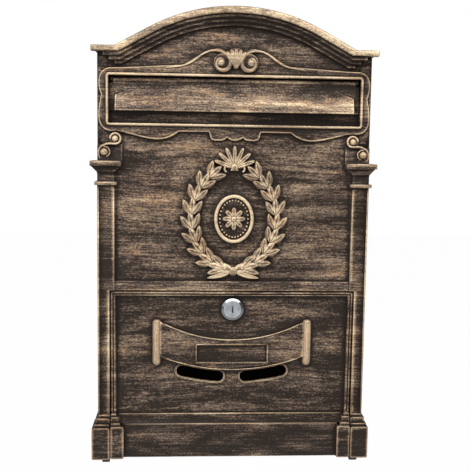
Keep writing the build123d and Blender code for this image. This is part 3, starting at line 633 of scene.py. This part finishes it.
def raised_outlines(node, proud, keep):
    """Chains of points along the convex edges that a CAD node has at one height above the face."""
    bm = merged_cad(node)
    level = FACE_Y - proud * MM
    links = {}
    for edge in bm.edges:
        on_level = all(
            abs(v.co.y - level) < LEVEL_BAND and keep(v.co.x / MM, v.co.z / MM) for v in edge.verts
        )
        if on_level and len(edge.link_faces) == 2 and edge.calc_face_angle_signed(0) > SHARP:
            for vertex in edge.verts:
                links.setdefault(vertex, []).append(edge)
    chains = []
    used = set()
    for start in sorted(links, key=lambda vertex: (len(links[vertex]), vertex.index)):
        chain = [start]
        while True:
            onward = [edge for edge in links[chain[-1]] if edge not in used]
            if not onward:
                break
            used.add(onward[0])
            chain.append(onward[0].other_vert(chain[-1]))
        if len(chain) > 2:
            chains.append([(v.co.x / MM, v.co.z / MM) for v in chain])
    bm.free()
    return chains


def thinned(chain, gap):
    """The chain without the points that lie closer together than a gap."""
    kept = [chain[0]]
    for point in chain[1:]:
        if math.dist(point, kept[-1]) > gap:
            kept.append(point)
    return kept


def tubes(strokes, kind="BEZIER", detail=3):
    """Bmesh of round tubes: each stroke is a list of (x, z, proud, radius) and whether it closes."""
    curve = bpy.data.curves.new("tubes", "CURVE")
    curve.dimensions = "3D"
    curve.bevel_depth = 1.0
    curve.bevel_resolution = detail
    curve.resolution_u = 6
    curve.use_fill_caps = True
    for points, closed in strokes:
        spline = curve.splines.new(kind)
        knots = spline.bezier_points if kind == "BEZIER" else spline.points
        knots.add(len(points) - 1)
        for knot, (x, z, proud, radius) in zip(knots, points):
            knot.radius = radius * MM
            if kind == "BEZIER":
                knot.co = place(x, z, proud)
                knot.handle_left_type = knot.handle_right_type = "AUTO"
            else:
                knot.co = (*place(x, z, proud), 1)
        spline.use_cyclic_u = closed
    holder = bpy.data.objects.new("tubes", curve)
    bpy.context.scene.collection.objects.link(holder)
    bpy.context.view_layer.update()
    mesh = bpy.data.meshes.new_from_object(holder)
    bm = bmesh.new()
    bm.from_mesh(mesh)
    bpy.data.objects.remove(holder)
    bpy.data.curves.remove(curve)
    bpy.data.meshes.remove(mesh)
    bmesh.ops.remove_doubles(bm, verts=bm.verts, dist=TUBE_WELD)
    return bm


def outline_beads(node, proud, keep, radius, gap=0.6):
    """Bmesh of thin beads along the raised outlines of a CAD node."""
    strokes = []
    for chain in raised_outlines(node, proud, keep):
        points = [(x, z, proud - radius * 0.3, radius) for x, z in thinned(chain, gap)]
        if len(points) > 2:
            strokes.append((points, math.dist(chain[0], chain[-1]) < gap))
    return tubes(strokes, "POLY", 2)


def turned(x, z, profile, steps=72):
    """Bmesh of a ring spun about an axis out of the front, from a closed profile of (radius, proud)."""
    bm = bmesh.new()
    corners = [bm.verts.new(place(x + radius, z, proud)) for radius, proud in profile]
    sides = [bm.edges.new(pair) for pair in zip(corners, corners[1:] + corners[:1])]
    bmesh.ops.spin(
        bm, geom=corners + sides, cent=place(x, z), axis=(0, -1, 0), angle=2 * math.pi, steps=steps,
        use_merge=True,
    )
    return bm


def dome(bm, x, z, proud, half_width, half_height, rise, sides=28, rings=14):
    """Rounded boss that stands on the front."""
    size = Matrix.Diagonal((half_width, half_height, rise, 1))
    bmesh.ops.create_uvsphere(
        bm, u_segments=sides, v_segments=rings, radius=1.0, matrix=laid(x, z, 0, proud) @ size,
    )


def leaf_form(length, width, edge, ridge, rib, point=1.0, tip_lift=0.0, rib_width=0.17):
    """Closed leaf along +X, in millimetres: side walls, a domed face, a sunk midrib and a lifted tip."""
    bm = bmesh.new()
    bmesh.ops.create_grid(bm, x_segments=16, y_segments=10, size=1.0)
    for vertex in bm.verts:
        along, across = (vertex.co.x + 1) / 2, vertex.co.y
        body = max(1 - (2 * along - 1) ** 2, 0.0)
        swell = (ridge - edge) * max(1 - across**2, 0.0) ** 0.6 * body**0.4
        groove = rib * math.exp(-((across / rib_width) ** 2)) * body**0.5
        height = edge + swell - groove + tip_lift * along**2
        vertex.co = (length * along, across * width / 2 * body**point, height)
    bmesh.ops.remove_doubles(bm, verts=bm.verts, dist=WELD / MM)
    rim = [edge for edge in bm.edges if edge.is_boundary]
    walls = bmesh.ops.extrude_edge_only(bm, edges=rim)
    for item in walls["geom"]:
        if isinstance(item, bmesh.types.BMVert):
            item.co.z = 0
    bmesh.ops.holes_fill(bm, edges=[edge for edge in bm.edges if edge.is_boundary], sides=0)
    bmesh.ops.recalc_face_normals(bm, faces=bm.faces)
    mesh = bpy.data.meshes.new("leaf_form")
    bm.to_mesh(mesh)
    bm.free()
    return mesh


def lay_form(bm, form, matrix):
    """Adds a form to a bmesh in its place."""
    copy = form.copy()
    copy.transform(matrix)
    bm.from_mesh(copy)
    bpy.data.meshes.remove(copy)


def oval(half_width, half_height, middle, proud, radius, count):
    """Closed stroke round an oval."""
    return [
        (
            half_width * math.cos(2 * math.pi * step / count),
            middle + half_height * math.sin(2 * math.pi * step / count), proud, radius,
        )
        for step in range(count)
    ]


def rounded_box(left, right, low, high, corner, proud, radius):
    """Closed stroke round a box with rounded corners."""
    points = []
    for x, z, start in (
        (right - corner, high - corner, 0), (left + corner, high - corner, 90),
        (left + corner, low + corner, 180), (right - corner, low + corner, 270),
    ):
        points += arc(x, z, corner, start, start + 90, proud, radius, 5)
    return points


def arc(x, z, reach, start, end, proud, radius, count):
    """Stroke along a round arc between two angles in degrees."""
    turns = [math.radians(start + (end - start) * step / (count - 1)) for step in range(count)]
    return [(x + reach * math.cos(turn), z + reach * math.sin(turn), proud, radius) for turn in turns]


# Operators


class MAILBOX_OT_castings(bpy.types.Operator):
    """Round the edges of the castings and give them the brushed bronze finish"""

    bl_idname = "mailbox.castings"
    bl_label = "Castings"

    def execute(self, context):
        sizes = context.scene.mailbox_ornament
        fine, broad = sizes.soften / MM, sizes.broad_soften / MM
        rounds = {
            "bases": (broad, 3), "base_steps": (fine * 1.3, 3), "capitals": (broad * 0.7, 3),
            "slot_bead": (broad * 0.6, 3), "cornice": (fine * 1.6, 3), "shafts": (fine * 2, 3),
            "anywhere": (fine, 2), "ears": (broad * 1.2, 4),
        }
        plain, footed = ("anywhere",), ("bases", "base_steps", "anywhere")
        level, sloping = (0, 0, 0), (math.radians(45), 0, 0)
        for node, name, body, cover, raised, edge_from, turn, wanted in (
            ("front_casting", "cast_front", CASE, 0.36, (1, 4, 0, -0.06), 0.1, level, rounds),
            ("roof_cover", "cast_roof", CASE, 0.45, (9, 11, 0, 0.5), -100, sloping, plain),
            ("door", "cast_door", DOOR, 0.18, (1, 3.5, 0, 0.17), 1.0, level, footed),
            ("letter_flap", "cast_flap", FLAP, 0.34, (-1.6, 2.6, 0, 0.3), -30, level, plain),
        ):
            material = bronze_material(
                f"Bronze {name}", cover, turn=turn, raised=raised, edge_from=edge_from,
            )
            steps = [(*rounds[key], REGIONS[key]) for key in wanted]
            softened_copy(node, name, body, material, steps)
        # The worn edges are brushed pale, and partly stand in as a painted highlight where light catches
        # them.
        material = bronze_material("Bronze worn edges and painted highlights", 0.92, 0.5, 0.2, streaks=0.5)
        self.shaft_edges(material)
        self.foot_edges(material)
        return {"FINISHED"}

    def shaft_edges(self, material):
        """Rounded corners of the two pilasters and of the ledges on them, and the rim of the slot, brushed
        pale as worn edges and partly as a painted highlight.
        """
        radius, sink = 0.9, 0.7
        corners = []
        for x, low, high in (
            (SHAFT_INNER + sink, RAIL_HIGH, SHAFT_HIGH), (CASE_INNER + sink, SHAFT_LOW, RAIL_LOW),
            (CASE_STEM - sink, SHAFT_LOW, SHAFT_HIGH),
        ):
            corners.append([(x, z, SHAFT_PROUD - sink, radius) for z in (low, high)])
        for z, proud, near, far in ((76.5, 9, 100.3, CAPITAL_OUTER), (58.1, 6, 104.4, 124.2)):
            corners.append([(x, z - sink, proud - sink, radius) for x in (near + sink, far - sink)])
        edges = tubes([(run, False) for corner in corners for run in (corner, mirrored(corner))], "POLY")
        mesh_piece(edges, "pilaster_edges", CASE, material)
        half, low, high, corner, proud, radius = 113.1, 109, 152.7, 2, 3.1, 1.15
        rim = rounded_box(-half, half, low, high, corner, proud, radius)
        mesh_piece(tubes([(rim, True)], "POLY"), "slot_rim", CASE, material)

    def foot_edges(self, material):
        """Outlines of the bases, of their steps and of the door's band and plinth, brushed pale as worn edges
        and partly as a painted highlight.
        """
        radius, sink, corner = 0.7, 0.45, 1.2
        line_radius, line_sink = 0.55, 0.35
        steps = ((11.2, 0.3, 4.2), (8.3, 2.4, 5.8), (3.1, 4.1, 7.4))
        for name, body, inner, outer, low, high, proud, stem in (
            ("base_edges", CASE, CASE_INNER, CASE_BASE_OUTER, -196.2, -166.8, 9.0, CASE_STEM),
            ("door_base_edges", DOOR, DOOR_INNER, DOOR_HALF, -195.8, -165.8, 8.5, DOOR_STEM),
        ):
            block = rounded_box(
                inner + sink, outer - sink, low + sink, high - sink, corner, proud - sink, radius,
            )
            strokes = [(block, True), (mirrored(block), True)]
            for drop, out, height in steps:
                ends = (inner + sink, stem + out - sink)
                if body == DOOR:
                    ends = (stem - out + sink, outer - sink)
                line = [(x, high + drop - sink, height - sink, radius) for x in ends]
                strokes += [(line, False), (mirrored(line), False)]
            if body == DOOR:
                for half, z, height in ((105.4, -155.1, 1.5), (99.5, -164.1, 4.0)):
                    line = [(x, z - line_sink, height - line_sink, line_radius) for x in (-half, half)]
                    strokes.append((line, False))
            mesh_piece(tubes(strokes, "POLY"), name, body, material)


class MAILBOX_OT_plaque(bpy.types.Operator):
    """Add the beads, volutes and shell of the plaque round the letter slot"""

    bl_idname = "mailbox.plaque"
    bl_label = "Plaque"

    def execute(self, context):
        bead = context.scene.mailbox_ornament.bead / MM
        material = bronze_material("Bronze plaque beads", 0.7, 0.5, 0.35, streaks=0.45)
        rim = outline_beads(
            "front_casting", PLAQUE_PROUD,
            lambda x, z: z > PLAQUE_FOOT and (z > PLAQUE_EAR_FOOT or abs(x) < PLAQUE_EAR_X), bead,
        )
        mesh_piece(rim, "plaque_bead", CASE, material)
        scroll = [
            (62, 158.9, 2.0, bead), (51, 160.2, 2.2, bead), (43.5, 162.0, 2.3, 0.8), (35.3, 166.6, 2.4, 0.85),
            (27.8, 172.0, 2.7, 0.9), (18.5, 174.4, 3.1, 1.0), (9.8, 171.6, 3.7, 1.3), (5.2, 165.6, 3.9, 1.75),
            (6.4, 159.8, 4.0, 1.95), (10.8, 157.4, 4.0, 1.85), (15.7, 159.0, 4.0, 1.5),
            (17.4, 162.6, 4.2, 1.2), (16.2, 165.9, 4.5, 1.1), (13.4, 166.9, 4.7, 1.0),
        ]
        volutes = tubes([(scroll, False), (mirrored(scroll), False)])
        eye_x, eye_z, eye_proud, eye_radius, eye_rise = 13.2, 164.0, 4.0, 3.3, 2.2
        for side in (-1, 1):
            dome(volutes, side * eye_x, eye_z, eye_proud, eye_radius, eye_radius, eye_rise)
        lobe = leaf_form(15.6, 5.4, 2.6, 4.6, 0.5, point=0.42)
        for turn in (-34, -17, 0, 17, 34):
            lay_form(volutes, lobe, laid(0, SHELL_Z, 90 + turn, SHELL_PROUD))
        boss_z, boss_proud, boss_half, boss_height, boss_rise = 161.0, 3.0, 2.9, 2.5, 3.4
        dome(volutes, 0, boss_z, boss_proud, boss_half, boss_height, boss_rise)
        mesh_piece(volutes, "plaque_volutes", CASE, material)
        return {"FINISHED"}


class MAILBOX_OT_brackets(bpy.types.Operator):
    """Add the scroll brackets that stand on the two capitals"""

    bl_idname = "mailbox.brackets"
    bl_label = "Scroll brackets"

    def execute(self, context):
        material = bronze_material("Bronze brackets", 0.8, 0.5, 0.35, streaks=0.45)
        ribbon = arc(105.8, 96.3, 4.5, 0, 270, 4.0, 1.0, 10) + [
            (111.0, 91.8, 3.8, 1.05), (115.6, 90.6, 3.6, 1.05), (119.2, 88.0, 3.4, 1.0),
            (120.4, 83.8, 3.2, 0.9), (119.8, 79.8, 3.2, 0.85), (119.0, 77.6, 3.2, 0.8),
        ]
        hook = arc(115.3, 84.5, 4.5, 80, 250, 3.7, 0.75, 8)
        foot, rise = 3.6, 2.6
        for side, name in ((-1, "left_scroll_bracket"), (1, "right_scroll_bracket")):
            strokes = [(stroke if side > 0 else mirrored(stroke), False) for stroke in (ribbon, hook)]
            scroll = tubes(strokes)
            for x, z, radius in ((106.1, 96.2, 2.95), (115.6, 84.4, 3.4)):
                dome(scroll, side * x, z, foot, radius, radius, rise)
            mesh_piece(scroll, name, CASE, material)
        return {"FINISHED"}


class MAILBOX_OT_crest(bpy.types.Operator):
    """Add the carved medallion, leaf wreath, palmette and bow"""

    bl_idname = "mailbox.crest"
    bl_label = "Crest"

    def execute(self, context):
        material = bronze_material("Bronze crest", 0.68, 0.4, 0.6, streaks=0.4)
        self.wreath(material)
        self.medallion(material)
        self.palmette(material)
        self.bow(material)
        return {"FINISHED"}

    def wreath(self, material):
        """Two branches of leaves in threes, with berries, round the medallion."""
        form = leaf_form(16.6, 7.0, 2.3, 4.9, 1.3, tip_lift=0.5)
        berry_proud, berry_radius, berry_rise = 3.4, 1.3, 1.5
        branch = bmesh.new()
        for step in range(WREATH_LEAVES):
            turn = math.radians(WREATH_STARTS + WREATH_SWEEP * step / (WREATH_LEAVES - 1))
            across, up = math.cos(turn), math.sin(turn)
            x, z = WREATH_HALF * across, CREST_Z + WREATH_HEIGHT * up
            stem = math.degrees(math.atan2(WREATH_HEIGHT * across, -WREATH_HALF * up))
            for lean, proud in ((-32, 0.0), (32, 0.0), (0, 0.7)):
                lay_form(branch, form, laid(x, z, stem + lean, proud))
                lay_form(branch, form, laid(-x, z, 180 - stem - lean, proud))
            for side in (-1, 1):
                dome(branch, side * x, z, berry_proud, berry_radius, berry_radius, berry_rise, 12)
        mesh_piece(branch, "crest_wreath", CASE, material)

    def medallion(self, material):
        """Oval medallion with a round rim, pearls and a rosette."""
        oval_rim = tubes([(oval(16.3, 20.3, CREST_Z, 4.2, 1.6, 28), True)])
        for x, z, proud, radius in oval(12.9, 16.9, CREST_Z, 3.2, 1.05, 30):
            dome(oval_rim, x, z, proud, radius, radius, radius, 10)
        petal = leaf_form(10.4, 5.4, 1.0, 3.0, 1.0, point=0.5, tip_lift=0.4)
        petals, petal_proud = 8, 2.8
        for step in range(petals):
            lay_form(oval_rim, petal, laid(0, CREST_Z, 360 / petals * step, petal_proud))
        button_proud, button_radius, button_rise = 4.2, 2.7, 2.4
        dome(oval_rim, 0, CREST_Z, button_proud, button_radius, button_radius, button_rise, 16)
        mesh_piece(oval_rim, "crest_medallion", CASE, material)

    def palmette(self, material):
        """Fan of petals over the wreath, with two curls at its foot."""
        curl = arc(5.6, PALMETTE_Z - 1, 3.4, -60, 210, 3.2, 1.0, 10)
        fan = tubes([(curl, False), (mirrored(curl), False)])
        petal = leaf_form(19.4, 5.2, 2.3, 5.0, 1.1, point=0.55, tip_lift=0.4)
        for step in range(PALMETTE_PETALS):
            turn = PALMETTE_TURN * (step - PALMETTE_PETALS // 2)
            lay_form(fan, petal, laid(0, PALMETTE_Z, 90 + turn))
        heart_rise, heart_proud, heart_radius = 2.6, 3.0, 3.4
        dome(fan, 0, PALMETTE_Z + 0.4, heart_proud, heart_radius, heart_radius, heart_rise, 18)
        mesh_piece(fan, "crest_palmette", CASE, material)

    def bow(self, material):
        """Ribbon bow under the wreath."""
        knot = bmesh.new()
        loop = leaf_form(18.6, 9.6, 2.3, 4.6, 1.9, point=0.5)
        tail = leaf_form(24.6, 5.6, 2.3, 3.6, 0.8, tip_lift=0.3)
        for form, turns in ((loop, (18, 162)), (tail, (-15, 195))):
            for turn in turns:
                lay_form(knot, form, laid(0, BOW_Z, turn))
        knot_proud, knot_half, knot_height, knot_rise = 2.4, 3.6, 4.2, 3.4
        dome(knot, 0, BOW_Z, knot_proud, knot_half, knot_height, knot_rise, 20)
        mesh_piece(knot, "crest_bow", CASE, material)


class MAILBOX_OT_door_trim(bpy.types.Operator):
    """Add the beads of the banner, its label frame and the view slots, and the banner's rolled ends"""

    bl_idname = "mailbox.door_trim"
    bl_label = "Door trim"

    def execute(self, context):
        bead = context.scene.mailbox_ornament.bead / MM
        material = bronze_material("Bronze door beads", 0.8, 0.5, 0.3, streaks=0.5)
        for name, proud, low, high, reach, thickness in (
            ("banner_bead", 3.5, -115, -66, 65.2, 0.75), ("view_slot_beads", 0.8, -132, -100, ALL, 0.35),
        ):
            beads = outline_beads(
                "door", proud, lambda x, z: low < z < high and abs(x) < reach, bead * thickness,
            )
            mesh_piece(beads, name, DOOR, material)
        upright = (0, math.radians(90), 0)
        rolled = bronze_material("Bronze rolls", 0.95, 0.25, 0.1, upright, streaks=0.35)
        ends = [
            (-66.8, 1.7), (-67.3, 2.9), (-68.6, 3.7), (-71, 3.95), (-105.6, 3.95), (-107.8, 3.4),
            (-109.4, 1.9),
        ]
        roll = [(ROLL_X, z, 1.0, radius) for z, radius in ends]
        rolls = tubes([(mirrored(roll), False), (roll, False)])
        mesh_piece(rolls, "banner_rolls", DOOR, rolled)
        return {"FINISHED"}


class MAILBOX_OT_case_and_hardware(bpy.types.Operator):
    """Paint the sheet case and finish the lock, rods, pins and screws"""

    bl_idname = "mailbox.case_and_hardware"
    bl_label = "Case and hardware"

    def execute(self, context):
        coats = {"case_sheet": paint_material("Case paint", (0.022, 0.017, 0.014), (0.04, 0.031, 0.026))}
        # The chrome's dark colour stands in for the dark studio it reflects: painted shade in its reflection.
        for slot, name, light, dark, low, high, rings in (
            ("chrome", "Chrome", (0.26, 0.27, 0.28), (0.20, 0.21, 0.22), 0.1, 0.16, False),
            ("nickel", "Nickel", (0.66, 0.69, 0.71), (0.46, 0.49, 0.51), 0.3, 0.45, True),
            ("zinc_steel", "Zinc steel", (0.16, 0.15, 0.14), (0.10, 0.095, 0.09), 0.45, 0.6, False),
        ):
            coats[slot] = metal_material(name, light, dark, low, high, rings)
        for entry in frame["record"]["subparts"]:
            coat = coats.get(HIDDEN_METAL.get(entry["node"], entry["material_slot"]))
            if coat:
                node = frame["nodes"][entry["node"]]
                node.data.materials.clear()
                node.data.materials.append(coat)
        inner, outer, foot, rise = 8.35, 10.05, 2.9, 1.2
        profile = [(inner, foot - rise), (inner, foot + rise), (outer, foot), (outer, foot - rise)]
        ring = mesh_piece(turned(0, LOCK_Z / MM, profile), "collar_ring", DOOR, coats["chrome"])
        ring.data.set_sharp_from_angle(angle=SHARP)
        return {"FINISHED"}


class MAILBOX_OT_stage(bpy.types.Operator):
    """Set up the floor, lights, background and camera"""

    bl_idname = "mailbox.stage"
    bl_label = "Stage"

    def execute(self, context):
        studio = context.scene.mailbox_studio
        scene = context.scene
        scene.view_settings.view_transform = "Standard"
        back = Vector((
            math.sin(studio.azimuth) * math.cos(studio.elevation),
            -math.cos(studio.azimuth) * math.cos(studio.elevation),
            math.sin(studio.elevation),
        ))
        right = (-back).cross(Vector((0, 0, 1))).normalized()
        up = right.cross(-back)
        tilted_right = right * math.cos(studio.roll) + up * math.sin(studio.roll)
        tilted_up = up * math.cos(studio.roll) - right * math.sin(studio.roll)
        camera = bpy.data.objects.new("camera", bpy.data.cameras.new("camera"))
        camera.data.lens = studio.lens
        camera.data.sensor_width = 36
        camera.matrix_world = Matrix.Translation(Vector(studio.target) + back * studio.distance) @ Matrix(
            (tilted_right, tilted_up, back)
        ).transposed().to_4x4()
        scene.collection.objects.link(camera)
        scene.camera = camera
        self.floor(FRONT_LOW.z)
        self.lamps(scene)
        self.sky(scene)
        return {"FINISHED"}

    def floor(self, level):
        """Pale floor below the mailbox."""
        half, drop, white, glare = 4.0, 0.25, 0.85, 0.98
        bm = bmesh.new()
        bmesh.ops.create_grid(bm, x_segments=1, y_segments=1, size=half)
        bmesh.ops.translate(bm, verts=bm.verts, vec=(0, 0, level - drop))
        mesh = bpy.data.meshes.new("floor")
        bm.to_mesh(mesh)
        bm.free()
        floor = bpy.data.objects.new("floor", mesh)
        bpy.context.scene.collection.objects.link(floor)
        material, tree, shader = new_material("Floor white")
        shader.inputs["Base Color"].default_value = (white, white, white, 1)
        shader.inputs["Roughness"].default_value = 0.9
        seen = tree.nodes.new("ShaderNodeLightPath").outputs["Is Camera Ray"]
        glow = add_node(tree, "ShaderNodeEmission", Strength=1.0)
        blend = tree.nodes.new("ShaderNodeMixShader")
        join(tree, math_node(tree, "MULTIPLY", seen, glare), blend.inputs["Fac"])
        join(tree, shader.outputs["BSDF"], blend.inputs[1])
        join(tree, glow.outputs["Emission"], blend.inputs[2])
        join(tree, blend.outputs["Shader"], tree.nodes["Material Output"].inputs["Surface"])
        mesh.materials.append(material)

    def lamps(self, scene):
        """Broad soft lamps from above and the left."""
        for name, spot, width, height, power in (
            ("key", (0.1, -0.95, 1.25), 3.0, 0.7, 37),
            ("fill", (-1.1, -1.3, 0.4), 1.4, 1.4, 8),
        ):
            data = bpy.data.lights.new(name, "AREA")
            data.shape = "RECTANGLE"
            data.size = width
            data.size_y = height
            data.energy = power
            lamp = bpy.data.objects.new(name, data)
            lamp.location = spot
            lamp.rotation_mode = "QUATERNION"
            lamp.rotation_quaternion = (-Vector(spot)).to_track_quat("-Z", "Y")
            scene.collection.objects.link(lamp)

    def sky(self, scene):
        """White background for the camera, over a soft grey fill for the rest."""
        world = bpy.data.worlds.new("Studio white")
        scene.world = world
        world.use_nodes = True
        tree = world.node_tree
        tree.nodes.clear()
        out = tree.nodes.new("ShaderNodeOutputWorld")
        white, fill, full = (1, 1, 1, 1), 0.3, 1.0
        soft = add_node(tree, "ShaderNodeBackground", Strength=fill, Color=white)
        bright = add_node(tree, "ShaderNodeBackground", Strength=full, Color=white)
        path = tree.nodes.new("ShaderNodeLightPath")
        blend = tree.nodes.new("ShaderNodeMixShader")
        join(tree, path.outputs["Is Camera Ray"], blend.inputs["Fac"])
        join(tree, soft.outputs["Background"], blend.inputs[1])
        join(tree, bright.outputs["Background"], blend.inputs[2])
        join(tree, blend.outputs["Shader"], out.inputs["Surface"])


class MAILBOX_PT_sidebar(bpy.types.Panel):
    """Settings and steps of the mailbox"""

    bl_idname = "MAILBOX_PT_sidebar"
    bl_label = "Mailbox"
    bl_space_type = "VIEW_3D"
    bl_region_type = "UI"
    bl_category = "Mailbox"

    def draw(self, context):
        for label, _ in GROUPS:
            group = getattr(context.scene, label)
            for key in group.bl_rna.properties.keys():
                if key not in ("rna_type", "name"):
                    self.layout.prop(group, key)
        for operator in OPERATORS:
            self.layout.operator(operator.bl_idname)


OPERATORS = (
    MAILBOX_OT_stage, MAILBOX_OT_castings, MAILBOX_OT_plaque, MAILBOX_OT_brackets, MAILBOX_OT_crest,
    MAILBOX_OT_door_trim, MAILBOX_OT_case_and_hardware,
)
GROUPS = (
    ("mailbox_finish", MailboxFinish), ("mailbox_ornament", MailboxOrnament),
    ("mailbox_studio", MailboxStudio),
)


def register():
    """Registers the settings, steps and panel."""
    for key, group in GROUPS:
        bpy.utils.register_class(group)
        setattr(bpy.types.Scene, key, bpy.props.PointerProperty(type=group))
    for operator in OPERATORS:
        bpy.utils.register_class(operator)
    bpy.utils.register_class(MAILBOX_PT_sidebar)


def unregister():
    """Takes the settings, steps and panel away again."""
    bpy.utils.unregister_class(MAILBOX_PT_sidebar)
    for operator in reversed(OPERATORS):
        bpy.utils.unregister_class(operator)
    for key, group in reversed(GROUPS):
        delattr(bpy.types.Scene, key)
        bpy.utils.unregister_class(group)


def main():
    """Registers the add-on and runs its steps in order."""
    register()
    build_dry_brush()
    build_bronze_coat()
    for operator in OPERATORS:
        category, name = operator.bl_idname.split(".")
        getattr(getattr(bpy.ops, category), name)()


if __name__ == "__main__":
    main()
